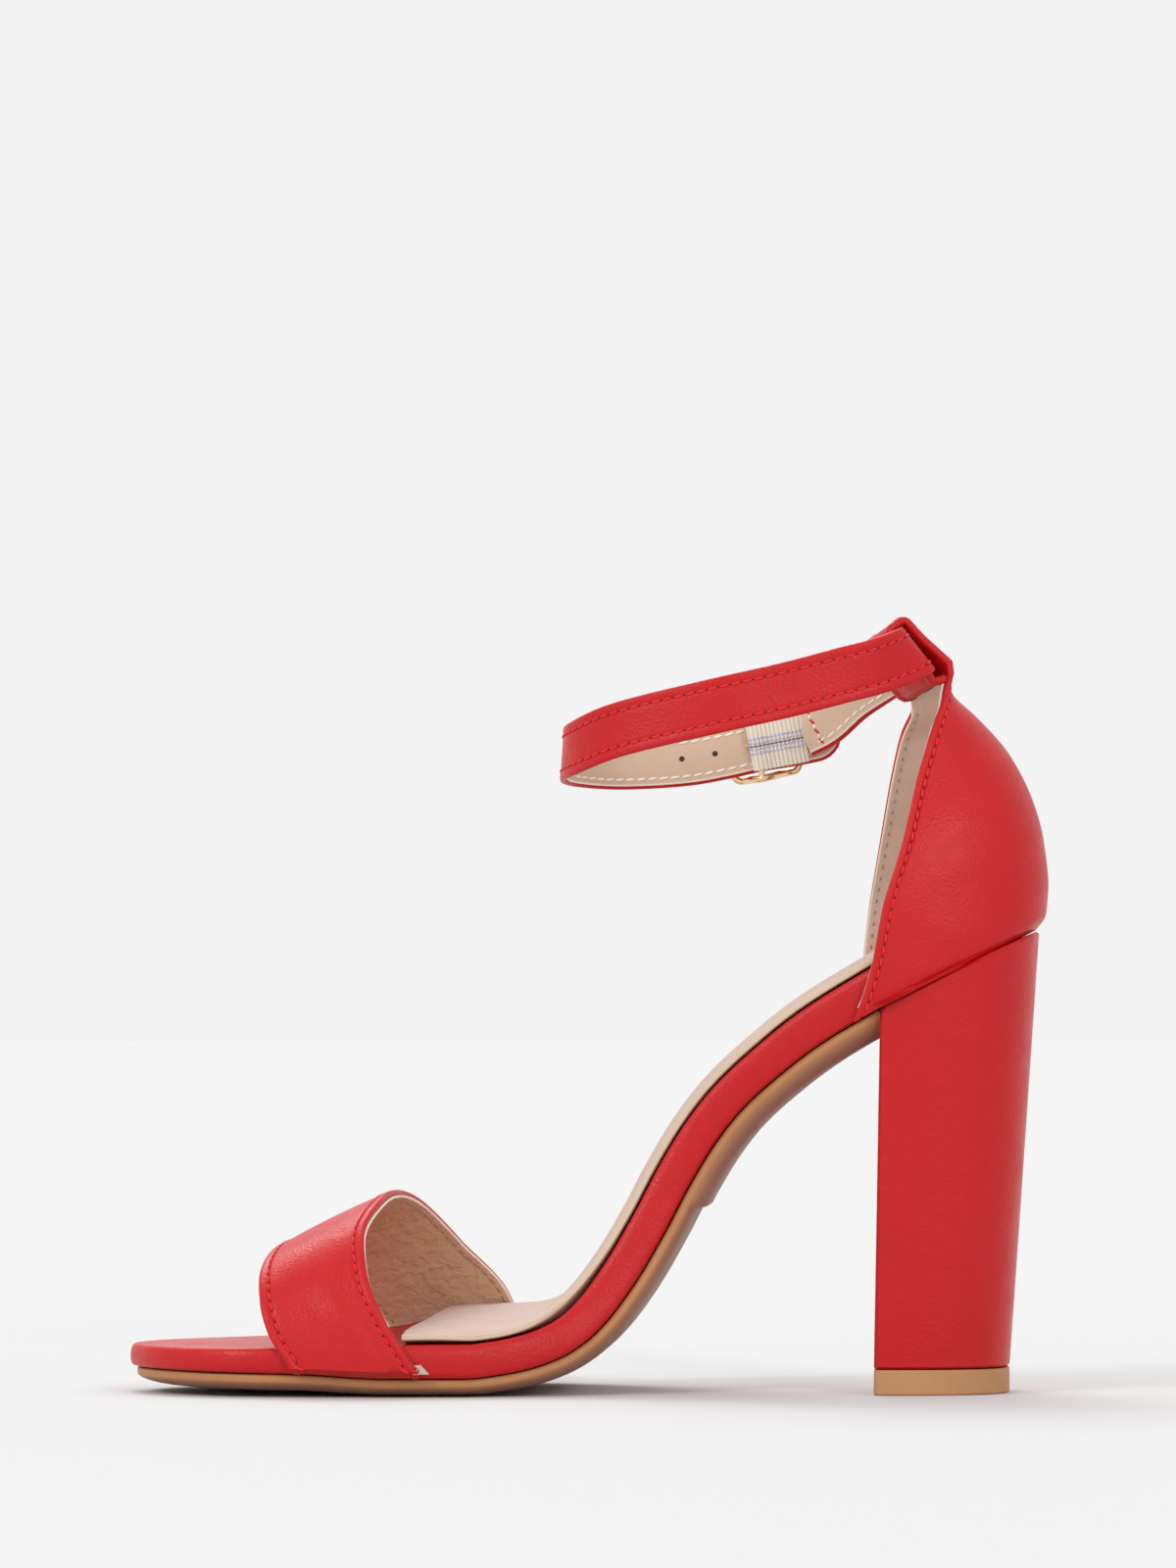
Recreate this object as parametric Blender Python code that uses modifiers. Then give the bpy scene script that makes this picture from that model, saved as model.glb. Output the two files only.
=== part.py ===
"""Heeled sandal, one right shoe, as the pieces that its maker puts together.

Metres, +Z up. The toe points to -X, the heel is at +X, the inner (medial) side
is at -Y. The origin is the middle of the top lift's underside.
"""
import math
from collections import namedtuple

import bmesh
import bpy
import numpy as np
from mathutils import Matrix, Vector

# Clearance between pieces that touch
GAP = 0.0003

# Sole: the curve of its joint with the footbed, seen from the side
SOLE_RUN = 0.198
SEAT_BACK = 0.0187
SEAT_RISE = 0.0966
BALL_WIDTH = 0.078
SEAT_WIDTH = 0.048
TOE_ROUND = 0.036
SEAT_ROUND = 0.024

# Sole layers
OUTSOLE_EDGE = 0.0018
OUTSOLE_INSET = 0.0016
TREAD_CROWN = 0.0021
WAIST_CROWN = 0.0035
FOOTBED_WAIST = 0.0077
FOOTBED_ROLL = 0.0013
INSOLE_EDGE = 0.0014
INSOLE_CROWN = 0.0013
INSOLE_INSET = 0.0016
INSOLE_FRONT = 1.16

# Heel block and top lift
LIFT_HEIGHT = 0.0056
LIFT_LENGTH = 0.0296
LIFT_WIDTH = 0.0440
HEEL_TOP_LENGTH = 0.0348
HEEL_TOP_WIDTH = 0.0500
HEEL_EDGE = 0.0014
HEEL_OVERHANG = 0.0028
BREAST_LAP = 0.0060

# Toe strap
STRAP_WALL = 0.0019
STRAP_TUCK = 0.0060
STRAP_FRONT_HEIGHT = 0.0323
STRAP_REAR_HEIGHT = 0.0444
STRAP_SETBACK = 0.0340
STRAP_LENGTH = 0.0243
STRAP_BEND = 0.0016
STRAP_BULGE = 0.0006

# Counter and its tunnel
COUNTER_WALL = 0.0018
COUNTER_HEIGHT = 0.0555
COUNTER_LEAD = 0.0057
TAB_WIDTH = 0.0166
TUNNEL_WALL = 0.0013
TUNNEL_ROOM = 0.0026
TUNNEL_CORNER = 0.0011
TUNNEL_LEAN = math.radians(36)
TUNNEL_TILT = math.radians(15)

# Ankle strap, elastic and buckle
ANKLE_WIDTH = 0.0122
ANKLE_WALL = 0.0018
ANKLE_REACH = 0.0743
ANKLE_SPAN = 0.0460
ANKLE_DROP = 0.0206
ELASTIC_WIDTH = 0.0105
ELASTIC_WALL = 0.0007
BUCKLE_LENGTH = 0.0150
BUCKLE_CORNER = 0.0018
WIRE = 0.0015
HOLE = 0.0020
TAIL_ROUND = 0.0065
FOLD_ROUND = 0.0024
ROW_STEP = 0.0026

COLOURS = {
    "red": ((0.56, 0.018, 0.020), 0.38, 0.0),
    "pale": ((0.72, 0.58, 0.50), 0.62, 0.0),
    "tan": ((0.48, 0.25, 0.10), 0.50, 0.0),
    "cream": ((0.80, 0.74, 0.62), 0.80, 0.0),
    "gold": ((0.83, 0.62, 0.36), 0.22, 1.0),
}

Section = namedtuple("Section", "along rise half swing bed")
BALL = BALL_WIDTH / 2
SEAT = SEAT_WIDTH / 2
STRAP_FRONT = SEAT_BACK - SOLE_RUN + STRAP_SETBACK
BREAST_TOP = SEAT_BACK + HEEL_OVERHANG - HEEL_TOP_LENGTH
COUNTER_FRONT = BREAST_TOP - COUNTER_LEAD

# A row for each section of the last, from the toe tip to the back of the seat:
# shares of the sole's run and rise, half width, swing to the outer side, and
# the footbed's thickness as a share of the waist's
LAST = [
    Section(0.000, 0.0176, 0.80 * BALL, -0.16 * BALL, 0.62),
    Section(0.082, 0.0145, 0.86 * BALL, -0.14 * BALL, 0.66),
    Section(0.201, 0.0104, 0.95 * BALL, -0.06 * BALL, 0.76),
    Section(0.300, 0.0000, 1.00 * BALL, 0.00 * BALL, 0.93),
    Section(0.385, 0.0000, 0.99 * BALL, 0.03 * BALL, 0.95),
    Section(0.419, 0.0072, 0.96 * BALL, 0.05 * BALL, 0.95),
    Section(0.453, 0.0207, 0.92 * BALL, 0.06 * BALL, 0.96),
    Section(0.486, 0.0445, 0.87 * BALL, 0.07 * BALL, 0.97),
    Section(0.512, 0.0770, 0.82 * BALL, 0.08 * BALL, 0.98),
    Section(0.534, 0.1200, 0.78 * BALL, 0.09 * BALL, 0.99),
    Section(0.566, 0.2080, 0.72 * BALL, 0.09 * BALL, 1.00),
    Section(0.600, 0.3270, 0.65 * BALL, 0.08 * BALL, 1.00),
    Section(0.627, 0.4330, 0.98 * SEAT, 0.07 * BALL, 1.00),
    Section(0.655, 0.5270, 0.95 * SEAT, 0.06 * BALL, 1.00),
    Section(0.684, 0.6020, 0.95 * SEAT, 0.05 * BALL, 1.00),
    Section(0.728, 0.6840, 0.97 * SEAT, 0.035 * BALL, 1.02),
    Section(0.768, 0.7464, 0.99 * SEAT, 0.02 * BALL, 1.06),
    Section(0.839, 0.8344, 1.00 * SEAT, 0.01 * BALL, 1.10),
    Section(0.904, 0.9060, 1.00 * SEAT, 0.00 * BALL, 1.12),
    Section(1.000, 1.0000, 1.00 * SEAT, 0.00 * BALL, 1.12),
]

# Where the moulded waist of the outsole starts, and how long its step is
WAIST_STEP = 0.617
STEP_LENGTH = 0.0016

# A row for each fold line round the toe strap, in degrees from the inner base:
# how far its front and rear edges lie behind the front crest, as shares of
# the strap's length there
Fold = namedtuple("Fold", "around front rear")
TOE_FOLDS = [
    Fold(0, 0.19, 1.33),
    Fold(15, -0.02, 1.02),
    Fold(31, -0.11, 0.85),
    Fold(48, -0.14, 0.80),
    Fold(73, -0.08, 0.92),
    Fold(90, 0.00, 1.00),
    Fold(117, 0.17, 1.22),
    Fold(139, 0.42, 1.50),
    Fold(160, 0.72, 1.92),
    Fold(180, 0.98, 2.12),
]
TOE_FULLNESS = 2.4

# A row for each level of the counter, from its seat to the tab: front edges of
# the inner and outer side behind COUNTER_FRONT and depth to the back, as
# shares of the seat's depth, half width, heights of the front edge and of the
# back over the seat as shares of the counter's height, how its section bends
# (under 1 a full U, 2 a shallow curve), and its share of the tunnel's tilt
Level = namedtuple("Level", "inner outer depth half front_up back_up bend slant")
TAB = TAB_WIDTH / 2
COUNTER_HALF = SEAT + GAP + COUNTER_WALL
COUNTER_LEVELS = [
    Level(0.000, 0.000, 1.000, 1.00 * COUNTER_HALF, 0.000, 0.000, 0.83, 0.00),
    Level(0.045, 0.025, 1.020, 1.04 * COUNTER_HALF, 0.075, 0.040, 0.83, 0.00),
    Level(0.095, 0.025, 1.010, 1.05 * COUNTER_HALF, 0.186, 0.144, 0.83, 0.00),
    Level(0.165, 0.060, 0.935, 1.03 * COUNTER_HALF, 0.418, 0.330, 0.85, 0.00),
    Level(0.255, 0.110, 0.807, 0.95 * COUNTER_HALF, 0.610, 0.513, 0.88, 0.00),
    Level(0.355, 0.180, 0.585, 2.25 * TAB, 0.874, 0.760, 0.95, 0.10),
    Level(0.455, 0.235, 0.335, 1.58 * TAB, 1.045, 0.960, 1.15, 0.45),
    Level(0.515, 0.285, 0.120, 0.98 * TAB, 1.122, 1.112, 1.70, 0.80),
    Level(0.520, 0.310, 0.035, 0.86 * TAB, 1.192, 1.202, 2.00, 1.00),
]

# A row for each bend of the ankle strap, from its rear end on the outer side,
# through the tunnel and round the inner side to its free tail: shares of its
# reach forward, of its span to the outer side and of its drop below the
# tunnel, and how far its upper edge leans into the loop, in degrees
Bend = namedtuple("Bend", "reach side drop lean")
REAR_BENDS = [
    Bend(0.304, 0.441, 0.718, 7),
    Bend(0.235, 0.420, 0.590, 8),
    Bend(0.150, 0.330, 0.330, 14),
]
FRONT_BENDS = [
    Bend(0.060, -0.395, 0.080, -4),
    Bend(0.165, -0.445, 0.185, 4),
    Bend(0.320, -0.480, 0.335, 6),
    Bend(0.570, -0.510, 0.540, 5),
    Bend(0.840, -0.400, 0.770, 5),
    Bend(0.965, -0.210, 0.940, 5),
    Bend(1.000, 0.000, 1.000, 5),
    Bend(0.968, 0.210, 1.035, 5),
    Bend(0.845, 0.400, 1.055, 5),
    Bend(0.650, 0.490, 1.010, 5),
    Bend(0.540, 0.505, 0.940, 5),
    Bend(0.440, 0.510, 0.860, 5),
    Bend(0.300, 0.515, 0.775, 6),
    Bend(0.190, 0.480, 0.690, 8),
]
BUCKLE_BEND = 11

collection = None
cutters = None


def hermite(xs, ys, x):
    """A smooth curve through the rows that keeps level runs level."""
    xs = np.asarray(xs, float)
    ys = np.asarray(ys, float)
    step = np.diff(xs)
    slope = np.diff(ys) / step
    tangent = np.zeros(len(xs))
    tangent[0], tangent[-1] = slope[0], slope[-1]
    for i in range(1, len(xs) - 1):
        if slope[i - 1] * slope[i] > 0:
            before = 2 * step[i] + step[i - 1]
            after = step[i] + 2 * step[i - 1]
            tangent[i] = (before + after) / (before / slope[i - 1] + after / slope[i])
    x = np.asarray(x, float)
    i = np.clip(np.searchsorted(xs, x, side="right") - 1, 0, len(xs) - 2)
    t = (x - xs[i]) / step[i]
    return ((1 + 2 * t) * (1 - t) ** 2 * ys[i] + t * (1 - t) ** 2 * step[i] * tangent[i]
            + t * t * (3 - 2 * t) * ys[i + 1] + t * t * (t - 1) * step[i] * tangent[i + 1])


class Last:
    """The joint of sole and footbed, and the outline, by length along it."""

    def __init__(self):
        self.along = [row.along for row in LAST]
        share = np.linspace(0, 1, 1201)
        self.x = SEAT_BACK - (1 - share) * SOLE_RUN
        tread = GAP + OUTSOLE_EDGE + TREAD_CROWN
        self.z = tread + SEAT_RISE * hermite(self.along, [row.rise for row in LAST], share)
        run = np.hypot(np.diff(self.x), np.diff(self.z))
        self.s = np.concatenate([[0], np.cumsum(run)])
        self.length = self.s[-1]
        self.share = share
        slope = np.gradient(self.z, self.x)
        smooth = np.ones(9) / 9
        self.slope = np.convolve(np.pad(slope, 4, mode="edge"), smooth, mode="valid")

    def column(self, s, name):
        share = np.interp(s, self.s, self.share)
        return float(hermite(self.along, [getattr(row, name) for row in LAST], share))

    def at_share(self, share):
        return float(np.interp(share, self.share, self.s))

    def at_x(self, x):
        return float(np.interp(x, self.x, self.s))

    def height(self, x):
        """The joint's height at x, carried on straight past the seat's back."""
        past = max(0.0, x - self.x[-1])
        return float(np.interp(x, self.x, self.z)) + past * self.slope[-1]

    def round_off(self, s):
        toe = max(0.0, 1 - s / TOE_ROUND)
        seat = max(0.0, 1 - (self.length - s) / SEAT_ROUND)
        return math.sqrt(max(0.0, 1 - toe ** 2.15)) * math.sqrt(max(0.0, 1 - seat ** 2.3))

    def edge(self, s, side):
        return self.column(s, "swing") + side * self.column(s, "half") * self.round_off(s)

    def bend(self, s, w, h):
        """A point by length along the joint, side and height over it, in space."""
        angle = math.atan(float(np.interp(s, self.s, self.slope)))
        x = float(np.interp(s, self.s, self.x)) - math.sin(angle) * h
        z = float(np.interp(s, self.s, self.z)) + math.cos(angle) * h
        return Vector((x, w, z))

    def stations(self, start=0.0, step=0.0085, fan=7):
        """Lengths for the outline's points: close where it bends or is steep."""
        toe = [TOE_ROUND * (1 - math.cos(math.pi / 2 * i / fan)) for i in range(fan)]
        seat = [self.length - SEAT_ROUND * (1 - math.cos(math.pi / 2 * i / fan)) for i in range(fan)]
        first, last = TOE_ROUND, self.length - SEAT_ROUND
        count = round((last - first) / step)
        middle = [first + (last - first) * i / count for i in range(count + 1)]
        bend_from, bend_to = self.at_share(0.385), self.at_share(0.60)
        extra = [(a + b) / 2 for a, b in zip(middle, middle[1:]) if bend_from < a < bend_to]
        rows = sorted(toe + middle + extra + seat)
        return [s for s in rows if s >= start - 1e-9]


last = Last()


def new_object(name, verts, faces, colour, smooth=40):
    """A closed mesh with its own material, in the sandal's collection."""
    mesh = bpy.data.meshes.new(name)
    mesh.from_pydata([tuple(v) for v in verts], [], faces)
    bm = bmesh.new()
    bm.from_mesh(mesh)
    bmesh.ops.remove_doubles(bm, verts=bm.verts, dist=0.000002)
    bmesh.ops.dissolve_degenerate(bm, edges=bm.edges, dist=0.000002)
    bmesh.ops.recalc_face_normals(bm, faces=bm.faces)
    bm.to_mesh(mesh)
    bm.free()
    obj = bpy.data.objects.new(name, mesh)
    collection.objects.link(obj)
    finish(obj, colour, smooth)
    return obj


def finish(obj, colour, smooth=40):
    base, roughness, metallic = COLOURS[colour]
    material = bpy.data.materials.new(obj.name)
    material.use_nodes = True
    shader = material.node_tree.nodes["Principled BSDF"]
    shader.inputs["Base Color"].default_value = (*base, 1)
    shader.inputs["Roughness"].default_value = roughness
    shader.inputs["Metallic"].default_value = metallic
    obj.data.materials.clear()
    obj.data.materials.append(material)
    obj.data.shade_smooth()
    obj.data.set_sharp_from_angle(angle=math.radians(smooth))


def baked(obj):
    """The object with its modifiers applied, as a plain mesh."""
    graph = bpy.context.evaluated_depsgraph_get()
    mesh = bpy.data.meshes.new_from_object(obj.evaluated_get(graph))
    bm = bmesh.new()
    bm.from_mesh(mesh)
    bmesh.ops.remove_doubles(bm, verts=bm.verts, dist=0.000002)
    bm.to_mesh(mesh)
    bm.free()
    obj.modifiers.clear()
    obj.data = mesh
    return obj


def as_cutter(obj):
    for owner in obj.users_collection:
        owner.objects.unlink(obj)
    cutters.objects.link(obj)
    obj.hide_render = True
    obj.display_type = "WIRE"
    return obj


def boolean(obj, other, operation):
    modifier = obj.modifiers.new(operation.title(), "BOOLEAN")
    modifier.object = other
    modifier.operation = operation
    modifier.solver = "EXACT"


def ring_faces(rings):
    """Quads between closed rings of equal count, the first one left open."""
    count = len(rings[0])
    faces = []
    for level in range(len(rings) - 1):
        for i in range(count):
            j = (i + 1) % count
            faces.append((level * count + i, level * count + j,
                          (level + 1) * count + j, (level + 1) * count + i))
    return faces


def sole_layer(name, colour, stations, rings, smooth=40):
    """A layer of the sole: rings inset from the outline towards its spine.

    A ring is (inset, share, height): metres, then a share of what is left
    towards the spine, then the height over the joint at a length along it.
    """
    spine_from = max(TOE_ROUND, stations[0])
    spine_to = last.length - SEAT_ROUND

    def outline_point(s, side, inset, share, height):
        middle = min(max(s, spine_from), spine_to)
        centre = Vector((middle, last.column(middle, "swing")))
        reach = Vector((s, last.edge(s, side))) - centre
        length = max(reach.length, 1e-9)
        spot = centre + reach * (max(0.0, 1 - inset / length) * (1 - share))
        return last.bend(spot.x, spot.y, height(spot.x))

    loops = []
    for inset, share, height in rings:
        one = [outline_point(s, 1, inset, share, height) for s in stations]
        other = [outline_point(s, -1, inset, share, height) for s in reversed(stations)]
        loops.append(one + other)
    verts = [v for loop in loops for v in loop]
    return new_object(name, verts, ring_faces(loops), colour, smooth)


def bed(s):
    return FOOTBED_WAIST * last.column(s, "bed")


def make_footbed():
    rings = [
        (0.0, 1.0, lambda s: 0.0),
        (FOOTBED_ROLL, 0.0, lambda s: 0.0),
        (0.25 * FOOTBED_ROLL, 0.0, lambda s: 0.14 * bed(s)),
        (0.0, 0.0, lambda s: 0.45 * bed(s)),
        (0.3 * FOOTBED_ROLL, 0.0, lambda s: 0.82 * bed(s)),
        (FOOTBED_ROLL, 0.0, lambda s: bed(s)),
        (0.0, 1.0, lambda s: bed(s)),
    ]
    return sole_layer("footbed", "red", last.stations(), rings)


def crown(s):
    """How far the outsole's middle stands below its edge: more in the waist."""
    step = last.at_share(WAIST_STEP)
    t = min(1.0, max(0.0, (s - step) / STEP_LENGTH))
    return TREAD_CROWN + (WAIST_CROWN - TREAD_CROWN) * t


def make_outsole():
    step = last.at_share(WAIST_STEP)
    end = last.at_x(BREAST_TOP) + BREAST_LAP
    stations = [s for s in last.stations() if s < end] + [end, step, step + STEP_LENGTH]
    stations = sorted(stations)
    edge = GAP + OUTSOLE_EDGE

    def lower(share):
        return lambda s: -edge - share * crown(s)

    rings = [
        (OUTSOLE_INSET, 1.0, lambda s: -GAP),
        (OUTSOLE_INSET, 0.0, lambda s: -GAP),
        (OUTSOLE_INSET, 0.0, lambda s: -edge),
        (OUTSOLE_INSET, 0.07, lower(0.50)),
        (OUTSOLE_INSET, 0.18, lower(0.86)),
        (OUTSOLE_INSET, 0.36, lower(1.0)),
        (OUTSOLE_INSET, 1.0, lower(1.0)),
    ]
    outsole = strip_layer("outsole", "tan", stations, rings)
    trim_at_breast(outsole)
    return outsole


def strip_layer(name, colour, stations, rings):
    """A sole layer with a rounded toe and a square rear end."""
    def spot(s, side, inset, share, height):
        middle = max(s, TOE_ROUND)
        centre = Vector((middle, last.column(middle, "swing")))
        reach = Vector((s, last.edge(s, side))) - centre
        length = max(reach.length, 1e-9)
        place = centre + reach * (max(0.0, 1 - inset / length) * (1 - share))
        return last.bend(place.x, place.y, height(place.x))

    verts = []
    for s in stations:
        top, *lower = rings
        row = [spot(s, 1, *ring) for ring in rings[1:]]
        row += [spot(s, -1, *ring) for ring in reversed(rings[1:-1])]
        verts += row + [spot(s, 1, *top)]
    width = len(verts) // len(stations)
    faces = []
    for k in range(len(stations) - 1):
        for i in range(width):
            j = (i + 1) % width
            faces.append((k * width + i, k * width + j, (k + 1) * width + j, (k + 1) * width + i))
    rear = (len(stations) - 1) * width
    faces.append([rear + i for i in range(width)])
    return new_object(name, verts, faces, colour)


def breast_x(z):
    """The heel's front face leans back from the lift to the seat."""
    top = last.height(BREAST_TOP)
    share = (z - LIFT_HEIGHT) / (top - LIFT_HEIGHT)
    return -LIFT_LENGTH / 2 + share * (BREAST_TOP + LIFT_LENGTH / 2)


def trim_at_breast(obj):
    """The outsole stops at the heel's breast."""
    low, high = 0.5 * SEAT_RISE, 1.3 * SEAT_RISE
    reach, side = SOLE_RUN / 2, BALL_WIDTH
    verts = []
    for y in (-side, side):
        for x, z in ((breast_x(low) - GAP, low), (reach, low), (reach, high), (breast_x(high) - GAP, high)):
            verts.append((x, y, z))
    faces = [(0, 1, 2, 3), (7, 6, 5, 4), (0, 4, 5, 1), (1, 5, 6, 2), (2, 6, 7, 3), (3, 7, 4, 0)]
    cutter = as_cutter(new_object("breast_cutter", verts, faces, "tan"))
    boolean(obj, cutter, "DIFFERENCE")


def make_insole():
    """The padded sock: its front edge runs obliquely under the toe strap."""
    start = last.at_x(STRAP_FRONT + INSOLE_FRONT * STRAP_LENGTH)
    stations = [start] + [s for s in last.stations(start) if s > start + INSOLE_EDGE]

    def over(rise):
        return lambda s: bed(s) + GAP + rise

    top = INSOLE_EDGE + INSOLE_CROWN
    rings = [
        (INSOLE_INSET + FOOTBED_ROLL, 1.0, over(0)),
        (INSOLE_INSET + 0.4 * INSOLE_EDGE, 0.0, over(0)),
        (INSOLE_INSET, 0.0, over(0.4 * INSOLE_EDGE)),
        (INSOLE_INSET + 0.2 * INSOLE_EDGE, 0.0, over(INSOLE_EDGE)),
        (INSOLE_INSET, 0.10, over(INSOLE_EDGE + 0.45 * INSOLE_CROWN)),
        (INSOLE_INSET, 0.32, over(INSOLE_EDGE + 0.85 * INSOLE_CROWN)),
        (INSOLE_INSET, 1.0, over(top)),
    ]
    return sole_layer("insole", "pale", stations, rings)


def heel_outline(length, width, corner, steps=12):
    """Half of the heel's D from the breast: (behind the breast, to the side)."""
    half = width / 2
    points = [(0.0, half - corner)]
    for i in range(1, 4):
        angle = math.pi / 2 * i / 3
        points.append((corner * (1 - math.cos(angle)), half - corner * (1 - math.sin(angle))))
    for i in range(1, steps + 1):
        share = math.sin(math.pi / 2 * i / steps)
        behind = corner + (length - corner) * share
        points.append((behind, half * max(0.0, 1 - share ** 2.7) ** (1 / 2.7)))
    return points


def heel_ring(front, length, width, height, share=0.0):
    """One closed ring of the heel, drawn in towards its middle line."""
    points = heel_outline(length, width, HEEL_EDGE)
    half = width / 2
    ring = []
    for side, row in ((1, points), (-1, points[-2::-1])):
        for behind, across in row:
            spine = min(max(behind, 0.0), length - half)
            x = front + behind + (spine - behind) * share
            y = side * across * (1 - share)
            ring.append(Vector((x, y, height(x))))
    return ring


def make_heel():
    floor = LIFT_HEIGHT + GAP
    front = -LIFT_LENGTH / 2

    def seat(x):
        return last.height(x) - 1.2 * GAP

    def low(x):
        return floor

    rings = [
        heel_ring(front, LIFT_LENGTH, LIFT_WIDTH, low, 1.0),
        heel_ring(front, LIFT_LENGTH, LIFT_WIDTH, low),
        heel_ring(BREAST_TOP, HEEL_TOP_LENGTH, HEEL_TOP_WIDTH, seat),
        heel_ring(BREAST_TOP, HEEL_TOP_LENGTH, HEEL_TOP_WIDTH, seat, 0.5),
        heel_ring(BREAST_TOP, HEEL_TOP_LENGTH, HEEL_TOP_WIDTH, seat, 1.0),
    ]
    return new_object("heel", [v for ring in rings for v in ring], ring_faces(rings), "red", 35)


def make_lift():
    front = -LIFT_LENGTH / 2
    rings = []
    for z, share in ((0.0, 1.0), (0.0, 0.0), (LIFT_HEIGHT, 0.0), (LIFT_HEIGHT, 1.0)):
        rings.append(heel_ring(front, LIFT_LENGTH, LIFT_WIDTH, lambda x, z=z: z, share))
    return new_object("top_lift", [v for ring in rings for v in ring], ring_faces(rings), "tan", 35)


def sheet(name, colour, rows, wall, offset, thin=None):
    """An open surface of rows of points, given its wall by Solidify, less where it is thin."""
    count = len(rows[0])
    verts = [v for row in rows for v in row]
    faces = []
    for k in range(len(rows) - 1):
        for i in range(count - 1):
            a = k * count + i
            faces.append((a, a + 1, a + count + 1, a + count))
    mesh = bpy.data.meshes.new(name)
    mesh.from_pydata([tuple(v) for v in verts], [], faces)
    obj = bpy.data.objects.new(name, mesh)
    collection.objects.link(obj)
    solid = obj.modifiers.new("Wall", "SOLIDIFY")
    solid.thickness = wall
    solid.offset = offset
    solid.use_even_offset = True
    solid.use_rim = True
    if thin:
        group = obj.vertex_groups.new(name="wall")
        for k, share in enumerate(thin):
            group.add(list(range(k * count, (k + 1) * count)), share, "REPLACE")
        solid.vertex_group = group.name
    finish(obj, colour, 50)
    return obj


def toe_strap_rows(steps=34, across=4):
    """Rows round the toe strap's outer face, from tuck to tuck."""
    lift = 2 * GAP + STRAP_WALL

    def row_at(around):
        angle = math.radians(around)
        side = -1 if around < 90 else 1
        points = []
        for i in range(across + 1):
            share = i / across
            front = hermite([f.around for f in TOE_FOLDS], [f.front for f in TOE_FOLDS], around)
            rear = hermite([f.around for f in TOE_FOLDS], [f.rear for f in TOE_FOLDS], around)
            x = STRAP_FRONT + STRAP_LENGTH * float(front + (rear - front) * share)
            s = last.at_x(x)
            base = last.height(x)
            crest = STRAP_FRONT_HEIGHT + (STRAP_REAR_HEIGHT - STRAP_FRONT_HEIGHT) * share
            bulge = 4 * share * (1 - share) * STRAP_BULGE
            reach = abs(math.cos(angle)) ** (2 / TOE_FULLNESS)
            climb = math.sin(angle) ** (2 / TOE_FULLNESS)
            middle = last.column(s, "swing")
            half = last.column(s, "half") + lift
            y = middle + side * half * reach
            z = base + (crest - base + bulge) * climb
            points.append(Vector((x, y, z)))
        return points

    angles = [180 * i / steps for i in range(steps + 1)]
    rows = [row_at(a) for a in angles]
    for end, side in ((0, -1), (-1, 1)):
        edge = rows[end]
        inner = [Vector((p.x, p.y - side * (lift + STRAP_TUCK), last.height(p.x))) for p in edge]
        bend = [Vector((p.x, p.y - side * lift, last.height(p.x))) for p in edge]
        for p in edge:
            p.z += STRAP_BEND
        rows = [inner, bend] + rows if end == 0 else rows + [bend, inner]
    return rows


def make_toe_strap():
    return sheet("toe_strap", "red", toe_strap_rows(), STRAP_WALL, -1)


def counter_chord(level):
    """Front edges and back of one level: middle, half chord and depth vectors."""
    seat_depth = SEAT_BACK + GAP + COUNTER_WALL - COUNTER_FRONT
    inner_x = COUNTER_FRONT + level.inner * seat_depth
    outer_x = COUNTER_FRONT + level.outer * seat_depth
    middle = Vector(((inner_x + outer_x) / 2, 0.0))
    chord = Vector(((outer_x - inner_x) / 2, level.half))
    back = Vector((chord.y, -chord.x)).normalized() * level.depth * seat_depth
    return middle, chord, back


def tab_directions():
    """Level along the tab to the outer side, and up along its leaning face."""
    middle, chord, back = counter_chord(COUNTER_LEVELS[-1])
    along = Vector((chord.x, chord.y, 0)).normalized()
    behind = Vector((back.x, back.y, 0)).normalized()
    return along, Vector((0, 0, math.cos(TUNNEL_LEAN))) - behind * math.sin(TUNNEL_LEAN)


def counter_point(level, angle):
    """A point of the counter's outer face, 0 at the inner front edge, 180 at the outer."""
    middle, chord, back = counter_chord(level)
    turn = math.radians(angle)
    side = math.copysign(abs(math.cos(turn)) ** min(1.0, level.bend), angle - 90)
    deep = math.sin(turn) ** level.bend
    flat = middle + chord * side + back * deep
    front_base = last.height(middle.x)
    back_base = last.height(middle.x + back.x)
    front_z = front_base + level.front_up * COUNTER_HEIGHT
    back_z = back_base + level.back_up * COUNTER_HEIGHT
    z = front_z + (back_z - front_z) * deep
    if level.front_up == 0:
        z = last.height(flat.x)
    along, steep = tab_directions()
    return Vector((flat.x, flat.y, z)) - steep * level.slant * side * TAB * math.sin(TUNNEL_TILT)


def blended_levels(steps):
    """The counter's levels, with more between them."""
    keys = np.arange(len(COUNTER_LEVELS))
    rows = []
    for k in range(steps + 1):
        place = (len(COUNTER_LEVELS) - 1) * k / steps
        values = [float(hermite(keys, [getattr(row, name) for row in COUNTER_LEVELS], place))
                  for name in Level._fields]
        rows.append(Level(*values))
    return rows


def tunnel_frame():
    """The tunnel's middle, its direction to the outer side, its lean and its back's."""
    along, steep = tab_directions()
    across = along * math.cos(TUNNEL_TILT) - steep * math.sin(TUNNEL_TILT)
    upward = steep * math.cos(TUNNEL_TILT) + along * math.sin(TUNNEL_TILT)
    outward = across.cross(upward).normalized()
    top = counter_point(COUNTER_LEVELS[-1], 90)
    slot_length, slot_depth = tunnel_slot()
    rise = slot_length / 2 + 0.7 * TUNNEL_WALL
    return top + upward * rise - outward * (slot_depth / 2 + TUNNEL_WALL), across, upward, outward


def tunnel_slot():
    """The tunnel's clear opening round the ankle strap."""
    return ANKLE_WIDTH + 4 * GAP, ANKLE_WALL + TUNNEL_ROOM


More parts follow.
